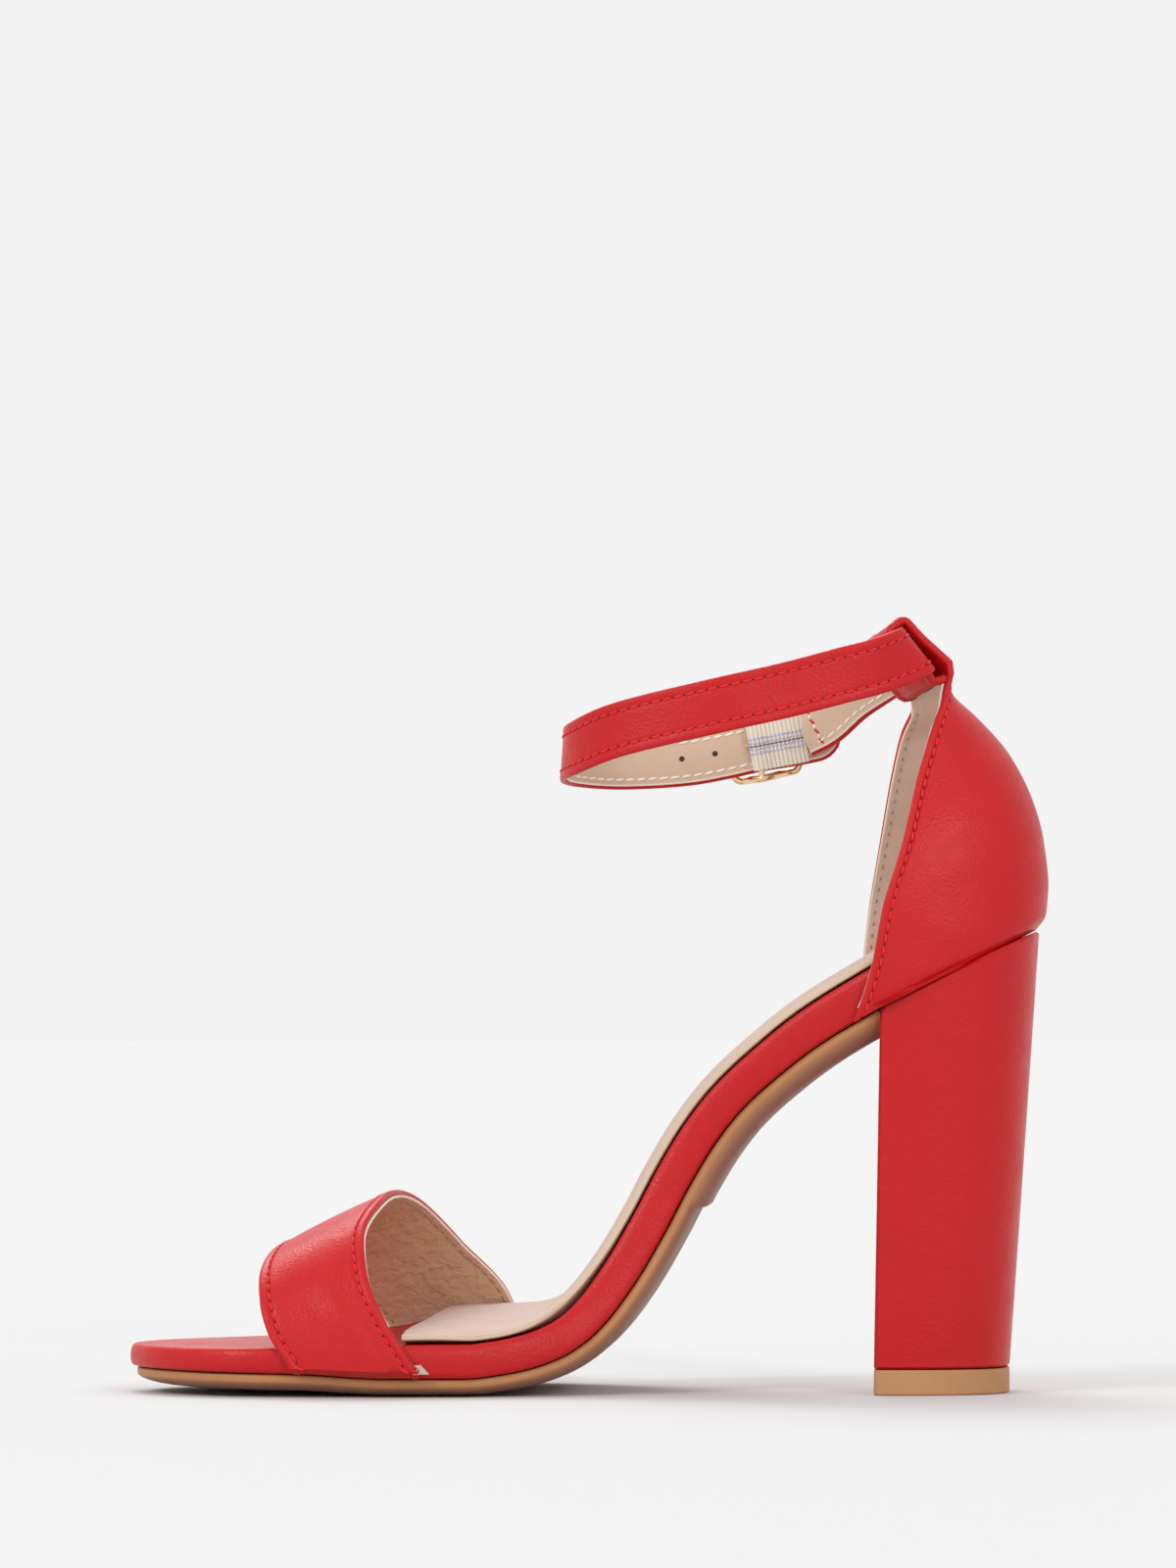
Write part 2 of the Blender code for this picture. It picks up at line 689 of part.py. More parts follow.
def tunnel_path(steps=4):
    """The tab's outer face over the strap and down in front: outward and upward."""
    slot_length, slot_depth = tunnel_slot()
    deep, half = slot_depth / 2 + TUNNEL_WALL, slot_length / 2
    corner = TUNNEL_CORNER + TUNNEL_WALL
    top = half + TUNNEL_WALL
    path = [(deep, share * half) for share in (-0.85, -0.4, 0.1, 0.5)]
    for centre_out, start in ((deep - corner, 0), (corner - deep, 90)):
        for i in range(steps + 1):
            turn = math.radians(start + 90 * i / steps)
            path.append((centre_out + corner * math.cos(turn), top - corner + corner * math.sin(turn)))
    path += [(-deep, share * half) for share in (0.5, 0.0, -0.6)]
    path += [(-0.97 * deep, -0.96 * half), (-0.78 * deep, -1.15 * half), (-0.40 * deep, -1.26 * half)]
    path.append((deep - COUNTER_WALL - 1.5 * TUNNEL_WALL, -1.30 * half))
    return path


def counter_rows(turns=26):
    """Rows round the counter's outer face, from its seat to the top of its tab."""
    angles = [180 * i / turns for i in range(turns + 1)]
    return [[counter_point(level, a) for a in angles] for level in blended_levels(16)], angles


def make_counter():
    """The closed back quarter; its tab folds over the ankle strap and back to itself."""
    rows, angles = counter_rows()
    centre, across, upward, outward = tunnel_frame()
    thin = [1.0] * len(rows)
    for out, up in tunnel_path():
        rows.append([centre + outward * out + upward * up - across * math.cos(math.radians(a)) * TAB for a in angles])
        thin.append(TUNNEL_WALL / COUNTER_WALL)
    return sheet("counter", "red", rows, COUNTER_WALL, -1, thin)


def mesh_of_curve(obj):
    """A curve object made a closed mesh object in its place."""
    graph = bpy.context.evaluated_depsgraph_get()
    mesh = bpy.data.meshes.new_from_object(obj.evaluated_get(graph))
    bm = bmesh.new()
    bm.from_mesh(mesh)
    bmesh.ops.remove_doubles(bm, verts=bm.verts, dist=0.00001)
    bmesh.ops.recalc_face_normals(bm, faces=bm.faces)
    bm.to_mesh(mesh)
    bm.free()
    name = obj.name
    place = obj.matrix_world.copy()
    bpy.data.objects.remove(obj)
    made = bpy.data.objects.new(name, mesh)
    collection.objects.link(made)
    made.matrix_world = place
    return made


def strap_centre():
    """Where the ankle strap crosses the tunnel: it lies at the tunnel's front."""
    centre, across, upward, outward = tunnel_frame()
    return centre - outward * (TUNNEL_ROOM / 2 - 1.5 * GAP)


def at_bend(bend):
    """A bend of the ankle strap in space."""
    centre = strap_centre()
    return Vector((centre.x - bend.reach * ANKLE_REACH, bend.side * ANKLE_SPAN, centre.z - bend.drop * ANKLE_DROP))


def ankle_places():
    """The ankle strap's bends: place, lean, and the width's direction where it is held."""
    centre = strap_centre()
    middle, across, upward, outward = tunnel_frame()
    places = [(at_bend(bend), math.radians(bend.lean), None) for bend in REAR_BENDS]
    places += [(centre + across * share * TAB, 0.0, upward) for share in (1.4, 0.6, -0.6, -1.12)]
    mouth = places[-1][0]
    for degrees in (22, 44, 66):
        turn = math.radians(degrees)
        place = mouth - across * FOLD_ROUND * math.sin(turn) - outward * FOLD_ROUND * (1 - math.cos(turn))
        places.append((place, 0.0, upward))
    places += [(at_bend(bend), math.radians(bend.lean), None) for bend in FRONT_BENDS]
    return places


def smooth_run(points, per_span):
    """Points along a centripetal curve through the given ones."""
    padded = [points[0] * 2 - points[1]] + points + [points[-1] * 2 - points[-2]]
    run = []
    for k in range(1, len(padded) - 2):
        p0, p1, p2, p3 = padded[k - 1:k + 3]
        t0 = 0.0
        t1 = t0 + max((p1 - p0).length, 1e-6) ** 0.5
        t2 = t1 + max((p2 - p1).length, 1e-6) ** 0.5
        t3 = t2 + max((p3 - p2).length, 1e-6) ** 0.5
        for i in range(per_span):
            t = t1 + (t2 - t1) * i / per_span
            a1 = p0 * ((t1 - t) / (t1 - t0)) + p1 * ((t - t0) / (t1 - t0))
            a2 = p1 * ((t2 - t) / (t2 - t1)) + p2 * ((t - t1) / (t2 - t1))
            a3 = p2 * ((t3 - t) / (t3 - t2)) + p3 * ((t - t2) / (t3 - t2))
            b1 = a1 * ((t2 - t) / (t2 - t0)) + a2 * ((t - t0) / (t2 - t0))
            b2 = a2 * ((t3 - t) / (t3 - t1)) + a3 * ((t - t1) / (t3 - t1))
            run.append(b1 * ((t2 - t) / (t2 - t1)) + b2 * ((t - t1) / (t2 - t1)))
    return run + [points[-1].copy()]


def width_directions(places):
    """The direction of the strap's width at each bend."""
    spots = [spot for spot, lean, given in places]
    widths = []
    for k, (spot, lean, given) in enumerate(places):
        if given is not None:
            widths.append(given.copy())
            continue
        ahead = (spots[min(k + 1, len(spots) - 1)] - spots[max(k - 1, 0)]).normalized()
        side = ahead.cross(Vector((0, 0, 1))).normalized()
        up = side.cross(ahead).normalized()
        widths.append(up * math.cos(lean) + side * math.sin(lean))
    return widths


def ribbon_rows(points, widths, width):
    """Cross rows of a flat ribbon, narrowed to a round tip at its tail."""
    rows = []
    for k, point in enumerate(points):
        ahead = (points[min(k + 1, len(points) - 1)] - points[max(k - 1, 0)]).normalized()
        across = (widths[k] - ahead * widths[k].dot(ahead)).normalized()
        from_tip = (point - points[-1]).length + 0.04 * TAIL_ROUND
        rounding = math.sqrt(1 - max(0.0, 1 - from_tip / TAIL_ROUND) ** 2)
        half = across * width / 2 * rounding
        rows.append([point - half, point + half])
    return rows


def spaced(points, widths):
    """Fewer points, close together only where the strap turns."""
    kept = [0]
    for k in range(1, len(points) - 1):
        run = (points[k] - points[kept[-1]]).length
        before = (points[kept[-1] + 1] - points[kept[-1]]).normalized()
        turned = before.angle(points[k + 1] - points[k])
        at_tip = (points[k] - points[-1]).length < TAIL_ROUND
        if run > (0.35 if at_tip else 1.0) * ROW_STEP or turned > math.radians(13) and run > 0.25 * ROW_STEP:
            kept.append(k)
    kept.append(len(points) - 1)
    return [points[k] for k in kept], [widths[k] for k in kept]


def evened(widths, reach):
    """Width directions averaged with their neighbours, so that twists are gradual."""
    rows = []
    for k in range(len(widths)):
        near = widths[max(0, k - reach):k + reach + 1]
        rows.append(sum(near, Vector()).normalized())
    return rows


def make_ankle_strap():
    places = ankle_places()
    per_span = 8
    points = smooth_run([spot for spot, lean, given in places], per_span)
    given = width_directions(places)
    widths = []
    for k in range(len(points)):
        span, part = divmod(k, per_span)
        after = given[min(span + 1, len(given) - 1)]
        widths.append(given[span].lerp(after, part / per_span))
    points, widths = spaced(points, evened(widths, 6))
    return sheet("ankle_strap", "red", ribbon_rows(points, widths, ANKLE_WIDTH), ANKLE_WALL, 0)


def buckle_frame():
    """Where the buckle's bar lies: middle, along the strap, outward, and up."""
    places = ankle_places()
    spots = [spot for spot, lean, given in places]
    k = len(spots) - len(FRONT_BENDS) + BUCKLE_BEND
    ahead = (spots[k + 1] - spots[k - 1]).normalized()
    across = width_directions(places)[k]
    outward = across.cross(ahead).normalized()
    if outward.y < 0:
        outward = -outward
    bar = spots[k] - outward * (ANKLE_WALL / 2 + GAP + ELASTIC_WALL + GAP + WIRE / 2)
    return bar, ahead, outward, across


def wire(name, points, radius, cyclic, colour="gold"):
    """A round wire through the points, as a closed mesh."""
    curve = bpy.data.curves.new(name, "CURVE")
    curve.dimensions = "3D"
    curve.bevel_depth = radius
    curve.bevel_resolution = 2
    curve.use_fill_caps = True
    spline = curve.splines.new("POLY")
    spline.points.add(len(points) - 1)
    for point, place in zip(spline.points, points):
        point.co = (*place, 1)
    spline.use_cyclic_u = cyclic
    obj = bpy.data.objects.new(name, curve)
    collection.objects.link(obj)
    made = mesh_of_curve(obj)
    made.name = name
    finish(made, colour)
    return made


def buckle_sizes():
    front = 0.42 * BUCKLE_LENGTH
    rear = BUCKLE_LENGTH - front
    half = ANKLE_WIDTH / 2 + 2 * GAP + WIRE / 2
    bow = WIRE / 2 + GAP + ELASTIC_WALL + GAP + ANKLE_WALL + GAP + WIRE / 2
    return front, rear, half, bow


def make_buckle():
    """A bowed frame over the strap, its bar under it."""
    bar, ahead, outward, across = buckle_frame()
    front, rear, half, bow = buckle_sizes()

    def spot(a, w):
        share = abs(a) / (front if a < 0 else rear)
        out = bow * (1 - math.cos(math.pi * min(1.0, share / 0.8))) / 2
        return bar + ahead * a + outward * out + across * w

    corner = BUCKLE_CORNER
    points = []
    dips = (0.75, 0.6, 0.45, 0.3, 0.15)
    rail = [dip * rear for dip in dips] + [0.0] + [-dip * front for dip in reversed(dips)]
    for a_side, w_side in ((1, 1), (-1, 1), (-1, -1), (1, -1)):
        a_end = rear if a_side > 0 else -front
        ring = []
        for i in range(4):
            turn = math.pi / 2 * i / 3
            ring.append((a_end - a_side * corner * (1 - math.cos(turn)),
                         w_side * (half - corner * (1 - math.sin(turn)))))
        if a_side * w_side < 0:
            ring.reverse()
        points += [spot(a, w) for a, w in ring]
        if a_side > 0 and w_side > 0:
            points += [spot(a, half) for a in rail]
        if a_side < 0 and w_side < 0:
            points += [spot(a, -half) for a in reversed(rail)]
    frame = wire("buckle", points, WIRE / 2, True)
    rod = wire("buckle_bar", [bar - across * half, bar + across * half], WIRE / 2, False)
    as_cutter(rod)
    boolean(frame, rod, "UNION")
    return frame


def make_elastic():
    """The elastic runs from inside the strap's rear end round the bar and back."""
    bar, ahead, outward, across = buckle_frame()
    layer = WIRE / 2 + GAP + ELASTIC_WALL / 2
    rear = at_bend(REAR_BENDS[0]).lerp(at_bend(REAR_BENDS[1]), 0.45)
    reach = (rear - bar).dot(ahead)
    inner_out = (rear - bar).dot(outward) - ANKLE_WALL / 2 - 3 * GAP - ELASTIC_WALL / 2
    runs = [(reach, inner_out), (0.6 * reach, min(-layer, 0.5 * (inner_out - layer))), (0.3 * reach, -layer),
            (0.0, -layer)]
    for i in range(1, 6):
        turn = math.pi * i / 6
        runs.append((-layer * math.sin(turn), -layer * math.cos(turn)))
    runs += [(0.0, layer), (0.25 * reach, layer), (0.45 * reach, 0.9 * layer)]
    rows = []
    for along, out in runs:
        place = bar + ahead * along + outward * out
        rows.append([place - across * ELASTIC_WIDTH / 2, place + across * ELASTIC_WIDTH / 2])
    return sheet("elastic", "cream", rows, ELASTIC_WALL, 0)


def make_prong():
    """The pin curls round the bar and rests on the frame's front side."""
    bar, ahead, outward, across = buckle_frame()
    front, rear, half, bow = buckle_sizes()
    thick = 0.45 * WIRE
    curl = WIRE / 2 + GAP + thick
    points = []
    for i in range(7):
        turn = math.radians(-60 + 35 * i)
        points.append(bar + ahead * curl * math.cos(turn) - outward * curl * math.sin(turn) * -1)
    tip_out = bow + WIRE / 2 + GAP + thick
    points.append(bar - ahead * (0.55 * front) + outward * (0.75 * tip_out))
    points.append(bar - ahead * front + outward * tip_out)
    points.append(bar - ahead * (front + 0.5 * WIRE) + outward * tip_out)
    return wire("prong", points, thick, False)


def pierce(objects):
    """The strap and the elastic are holed where the prong passes."""
    bar, ahead, outward, across = buckle_frame()
    front, rear, half, bow = buckle_sizes()
    place = Matrix((ahead, outward, across)).transposed().to_4x4()
    bm = bmesh.new()
    bmesh.ops.create_cube(bm, size=1.0)
    size = Vector((front + 2 * WIRE, bow + 2 * WIRE, HOLE))
    offset = Vector((-0.42 * front, 0.45 * bow, 0.0))
    bmesh.ops.scale(bm, vec=size, verts=bm.verts)
    bmesh.ops.translate(bm, vec=offset, verts=bm.verts)
    mesh = bpy.data.meshes.new("prong_hole")
    bm.to_mesh(mesh)
    bm.free()
    cutter = bpy.data.objects.new("prong_hole", mesh)
    collection.objects.link(cutter)
    place.translation = bar
    cutter.matrix_world = place
    as_cutter(cutter)
    for obj in objects:
        boolean(obj, cutter, "DIFFERENCE")


def let_in(footbed, name, rows, wall):
    """The footbed is let in for a leather piece, a gap clear of it."""
    grown = sheet(name, "red", rows, wall, -1)
    baked(grown)
    bm = bmesh.new()
    bm.from_mesh(grown.data)
    bm.normal_update()
    moves = [(v, v.normal * 1.5 * GAP) for v in bm.verts]
    for vert, move in moves:
        vert.co += move
    bm.to_mesh(grown.data)
    bm.free()
    as_cutter(grown)
    boolean(footbed, grown, "DIFFERENCE")


def main():
    global collection, cutters
    for obj in list(bpy.data.objects):
        bpy.data.objects.remove(obj)
    collection = bpy.data.collections.new("heeled_sandal")
    cutters = bpy.data.collections.new("cutters")
    bpy.context.scene.collection.children.link(collection)
    bpy.context.scene.collection.children.link(cutters)
    footbed = make_footbed()
    let_in(footbed, "strap_cutter", toe_strap_rows(), STRAP_WALL)
    let_in(footbed, "counter_cutter", counter_rows()[0][:8], COUNTER_WALL)
    make_outsole()
    make_insole()
    make_heel()
    make_lift()
    make_toe_strap()
    make_counter()
    strap = make_ankle_strap()
    elastic = make_elastic()
    make_buckle()
    make_prong()
    pierce([strap, elastic])


main()
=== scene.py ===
"""Heeled sandal, one right shoe: its leathers, linings, stitching, elastic and buckle.

Metres, +Z up, toe to -X, inner side to -Y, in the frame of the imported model.
"""
import math
from collections import namedtuple

import bmesh
import bpy
import numpy as np
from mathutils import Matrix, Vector


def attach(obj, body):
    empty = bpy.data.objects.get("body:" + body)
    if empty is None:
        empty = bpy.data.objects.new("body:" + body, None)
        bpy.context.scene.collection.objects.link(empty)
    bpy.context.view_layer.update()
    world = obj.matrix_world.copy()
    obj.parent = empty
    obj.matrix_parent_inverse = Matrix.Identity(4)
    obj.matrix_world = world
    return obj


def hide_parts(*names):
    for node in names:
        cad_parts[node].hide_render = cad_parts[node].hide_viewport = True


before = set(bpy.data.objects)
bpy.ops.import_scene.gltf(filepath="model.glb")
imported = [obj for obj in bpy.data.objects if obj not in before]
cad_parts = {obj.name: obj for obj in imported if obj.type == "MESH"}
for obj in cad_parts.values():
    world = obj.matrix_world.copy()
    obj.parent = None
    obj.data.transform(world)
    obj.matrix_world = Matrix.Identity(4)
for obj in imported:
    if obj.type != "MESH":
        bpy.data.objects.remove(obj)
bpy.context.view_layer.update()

# Leathers, linings and thread
LEATHER = 0.0013
LINING_SET_BACK = 0.0008
LINING_PROUD = 0.0008
LINING_SEAM = 3
STITCH_INSET = 0.0023
STITCH_PITCH = 0.0026
STITCH_LENGTH = 0.0022
THREAD = 0.00031
THREAD_SINK = 0.00008
# Size of the dark beads of painted shade that stand for the needle holes
NEEDLE_HOLE_SHADE_SIZE = (0.00045, 0.00040, 0.00030)
# Places and size of the dark discs of painted shade at the punched holes
PUNCHED_AT = (-0.0584, -0.0511)
PUNCHED_SIZE = (0.0013, 0.0013, 0.0002)
TOUCH = 0.00002

# Where the tab's near rim stands open
RIM_OPENING = 0.0023
RIM_HEIGHT = 0.1600
RIM_SPREAD = 0.0052

# Elastic: its ribs, and its woven lines by name, offsets in 32nds of its width,
# pitch and slant
RIB_PITCH = 0.00095
RIB_HEIGHT = 0.00022
ELASTIC_COLUMNS = 32
ELASTIC_LINES = [
    ("lilac", (-2.4, 2.4), 0.0008, 0.7),
    ("lilac", (-4.6, 4.6), 0.0008, -0.7),
    ("dark", (0.0,), 0.0011, 0.0),
]

# The forefoot's outer side stands higher: how much, where and how far along
OUTER_RISE = 0.0034
OUTER_RISE_AT = -0.1040
OUTER_RISE_SPREAD = 0.022

# The loose sock: its front edge's slant, its stitches, how far it stands off at
# the outer side, and its waves on the inner side (where, how long, how high)
SOCK_SLANT = 0.0070
SOCK_SLANT_REACH = 0.045
SOCK_PITCH = 0.0033
SOCK_SEAM = 0.0021
SOCK_REST = 0.0002
SOCK_STAND = 0.0009
SOCK_STAND_AT = -0.100
SOCK_STAND_SPREAD = 0.026
SOCK_WAVES = [(-0.077, 0.010, 0.0010), (-0.112, 0.010, 0.0005)]

# Camera and floor
PIXELS_PER_M = 4600.0
VIEW_WIDTH = 1200 / PIXELS_PER_M
VIEW_CENTRE = (-0.0784, 0.0, 0.1343)
CAMERA_HEIGHT = 0.085
CAMERA_DISTANCE = 1.8
CAMERA_AZIMUTH = math.radians(3.0)
SENSOR = 36.0
FLOOR_TONE = (0.640, 0.640, 0.640)
FLOOR_CORNERS = [(-30, -12, 0), (30, -12, 0), (30, 40, 0), (-30, 40, 0)]
WORLD_STRENGTH = 0.90

# Lights: the place each shines from, its strength and its spread in degrees
LIGHTS = [
    ("front_left_light", (-0.95, -1.15, 0.95), 0.85, 16),
    ("front_right_light", (0.62, -1.25, 0.62), 0.50, 10),
    ("top_light", (-0.25, 0.80, 1.10), 1.20, 32),
]

# Clearance between pieces that touch
GAP = 0.0003

# Sole: the curve of its joint with the footbed, seen from the side
SOLE_RUN = 0.198
SEAT_BACK = 0.0187
SEAT_RISE = 0.0966
BALL_WIDTH = 0.078
SEAT_WIDTH = 0.048
TOE_ROUND = 0.036
SEAT_ROUND = 0.024

# Sole layers
OUTSOLE_EDGE = 0.0018
OUTSOLE_INSET = 0.0016
TREAD_CROWN = 0.0021
WAIST_CROWN = 0.0035
FOOTBED_WAIST = 0.0077
FOOTBED_ROLL = 0.0013
INSOLE_EDGE = 0.0014
INSOLE_CROWN = 0.0013
INSOLE_INSET = 0.0016
INSOLE_FRONT = 1.16

# Heel block and top lift
LIFT_HEIGHT = 0.0056
LIFT_LENGTH = 0.0296
LIFT_WIDTH = 0.0440
HEEL_TOP_LENGTH = 0.0348
HEEL_TOP_WIDTH = 0.0500
HEEL_EDGE = 0.0014
HEEL_OVERHANG = 0.0028

# Toe strap
STRAP_WALL = 0.0019
STRAP_TUCK = 0.0060
STRAP_FRONT_HEIGHT = 0.0323
STRAP_REAR_HEIGHT = 0.0444
STRAP_SETBACK = 0.0340
STRAP_LENGTH = 0.0243
STRAP_BEND = 0.0016
STRAP_BULGE = 0.0006

# Counter and its tunnel
COUNTER_WALL = 0.0018
COUNTER_HEIGHT = 0.0555
COUNTER_LEAD = 0.0057
TAB_WIDTH = 0.0166
TUNNEL_WALL = 0.0013
TUNNEL_ROOM = 0.0026
TUNNEL_CORNER = 0.0011
TUNNEL_LEAN = math.radians(36)
TUNNEL_TILT = math.radians(15)

# Ankle strap, elastic and buckle
ANKLE_WIDTH = 0.0122
ANKLE_WALL = 0.0018
ANKLE_REACH = 0.0743
ANKLE_SPAN = 0.0460
ANKLE_DROP = 0.0206
ELASTIC_WIDTH = 0.0105
ELASTIC_WALL = 0.0007
BUCKLE_LENGTH = 0.0150
BUCKLE_CORNER = 0.0018
WIRE = 0.0015
TAIL_ROUND = 0.0065
FOLD_ROUND = 0.0024

Section = namedtuple("Section", "along rise half swing bed")
BALL = BALL_WIDTH / 2
SEAT = SEAT_WIDTH / 2
STRAP_FRONT = SEAT_BACK - SOLE_RUN + STRAP_SETBACK
BREAST_TOP = SEAT_BACK + HEEL_OVERHANG - HEEL_TOP_LENGTH
COUNTER_FRONT = BREAST_TOP - COUNTER_LEAD

# A row for each section of the last, from the toe tip to the back of the seat:
# shares of the sole's run and rise, half width, swing to the outer side, and
# the footbed's thickness as a share of the waist's
LAST = [
    Section(0.000, 0.0176, 0.80 * BALL, -0.16 * BALL, 0.62),
    Section(0.082, 0.0145, 0.86 * BALL, -0.14 * BALL, 0.66),
    Section(0.201, 0.0104, 0.95 * BALL, -0.06 * BALL, 0.76),
    Section(0.300, 0.0000, 1.00 * BALL, 0.00 * BALL, 0.93),
    Section(0.385, 0.0000, 0.99 * BALL, 0.03 * BALL, 0.95),
    Section(0.419, 0.0072, 0.96 * BALL, 0.05 * BALL, 0.95),
    Section(0.453, 0.0207, 0.92 * BALL, 0.06 * BALL, 0.96),
    Section(0.486, 0.0445, 0.87 * BALL, 0.07 * BALL, 0.97),
    Section(0.512, 0.0770, 0.82 * BALL, 0.08 * BALL, 0.98),
    Section(0.534, 0.1200, 0.78 * BALL, 0.09 * BALL, 0.99),
    Section(0.566, 0.2080, 0.72 * BALL, 0.09 * BALL, 1.00),
    Section(0.600, 0.3270, 0.65 * BALL, 0.08 * BALL, 1.00),
    Section(0.627, 0.4330, 0.98 * SEAT, 0.07 * BALL, 1.00),
    Section(0.655, 0.5270, 0.95 * SEAT, 0.06 * BALL, 1.00),
    Section(0.684, 0.6020, 0.95 * SEAT, 0.05 * BALL, 1.00),
    Section(0.728, 0.6840, 0.97 * SEAT, 0.035 * BALL, 1.02),
    Section(0.768, 0.7464, 0.99 * SEAT, 0.02 * BALL, 1.06),
    Section(0.839, 0.8344, 1.00 * SEAT, 0.01 * BALL, 1.10),
    Section(0.904, 0.9060, 1.00 * SEAT, 0.00 * BALL, 1.12),
    Section(1.000, 1.0000, 1.00 * SEAT, 0.00 * BALL, 1.12),
]

# Where the moulded waist of the outsole starts, and how long its step is
WAIST_STEP = 0.617
STEP_LENGTH = 0.0016

# A row for each fold line round the toe strap, in degrees from the inner base:
# how far its front and rear edges lie behind the front crest, as shares of
# the strap's length there
Fold = namedtuple("Fold", "around front rear")
TOE_FOLDS = [
    Fold(0, 0.19, 1.33),
    Fold(15, -0.02, 1.02),
    Fold(31, -0.11, 0.85),
    Fold(48, -0.14, 0.80),
    Fold(73, -0.08, 0.92),
    Fold(90, 0.00, 1.00),
    Fold(117, 0.17, 1.22),
    Fold(139, 0.42, 1.50),
    Fold(160, 0.72, 1.92),
    Fold(180, 0.98, 2.12),
]
TOE_FULLNESS = 2.4

# A row for each level of the counter, from its seat to the tab: front edges of
# the inner and outer side behind COUNTER_FRONT and depth to the back, as
# shares of the seat's depth, half width, heights of the front edge and of the
# back over the seat as shares of the counter's height, how its section bends
# (under 1 a full U, 2 a shallow curve), and its share of the tunnel's tilt
Level = namedtuple("Level", "inner outer depth half front_up back_up bend slant")
TAB = TAB_WIDTH / 2
COUNTER_HALF = SEAT + GAP + COUNTER_WALL
COUNTER_LEVELS = [
    Level(0.000, 0.000, 1.000, 1.00 * COUNTER_HALF, 0.000, 0.000, 0.83, 0.00),
    Level(0.045, 0.025, 1.020, 1.04 * COUNTER_HALF, 0.075, 0.040, 0.83, 0.00),
    Level(0.095, 0.025, 1.010, 1.05 * COUNTER_HALF, 0.186, 0.144, 0.83, 0.00),
    Level(0.165, 0.060, 0.935, 1.03 * COUNTER_HALF, 0.418, 0.330, 0.85, 0.00),
    Level(0.255, 0.110, 0.807, 0.95 * COUNTER_HALF, 0.610, 0.513, 0.88, 0.00),
    Level(0.355, 0.180, 0.585, 2.25 * TAB, 0.874, 0.760, 0.95, 0.10),
    Level(0.455, 0.235, 0.335, 1.58 * TAB, 1.045, 0.960, 1.15, 0.45),
    Level(0.515, 0.285, 0.120, 0.98 * TAB, 1.122, 1.112, 1.70, 0.80),
    Level(0.520, 0.310, 0.035, 0.86 * TAB, 1.192, 1.202, 2.00, 1.00),
]

# A row for each bend of the ankle strap, from its rear end on the outer side,
# through the tunnel and round the inner side to its free tail: shares of its
# reach forward, of its span to the outer side and of its drop below the
# tunnel, and how far its upper edge leans into the loop, in degrees
Bend = namedtuple("Bend", "reach side drop lean")
REAR_BENDS = [
    Bend(0.304, 0.441, 0.718, 7),
    Bend(0.235, 0.420, 0.590, 8),
    Bend(0.150, 0.330, 0.330, 14),
]
FRONT_BENDS = [
    Bend(0.060, -0.395, 0.080, -4),
    Bend(0.165, -0.445, 0.185, 4),
    Bend(0.320, -0.480, 0.335, 6),
    Bend(0.570, -0.510, 0.540, 5),
    Bend(0.840, -0.400, 0.770, 5),
    Bend(0.965, -0.210, 0.940, 5),
    Bend(1.000, 0.000, 1.000, 5),
    Bend(0.968, 0.210, 1.035, 5),
    Bend(0.845, 0.400, 1.055, 5),
    Bend(0.650, 0.490, 1.010, 5),
    Bend(0.540, 0.505, 0.940, 5),
    Bend(0.440, 0.510, 0.860, 5),
    Bend(0.300, 0.515, 0.775, 6),
    Bend(0.190, 0.480, 0.690, 8),
]
BUCKLE_BEND = 11


def hermite(xs, ys, x):
    """A smooth curve through the rows that keeps level runs level."""
    xs = np.asarray(xs, float)
    ys = np.asarray(ys, float)
    step = np.diff(xs)
    slope = np.diff(ys) / step
    tangent = np.zeros(len(xs))
    tangent[0], tangent[-1] = slope[0], slope[-1]
    for i in range(1, len(xs) - 1):
        if slope[i - 1] * slope[i] > 0:
            before = 2 * step[i] + step[i - 1]
            after = step[i] + 2 * step[i - 1]
            tangent[i] = (before + after) / (before / slope[i - 1] + after / slope[i])
    x = np.asarray(x, float)
    i = np.clip(np.searchsorted(xs, x, side="right") - 1, 0, len(xs) - 2)
    t = (x - xs[i]) / step[i]
    return ((1 + 2 * t) * (1 - t) ** 2 * ys[i] + t * (1 - t) ** 2 * step[i] * tangent[i]
            + t * t * (3 - 2 * t) * ys[i + 1] + t * t * (t - 1) * step[i] * tangent[i + 1])


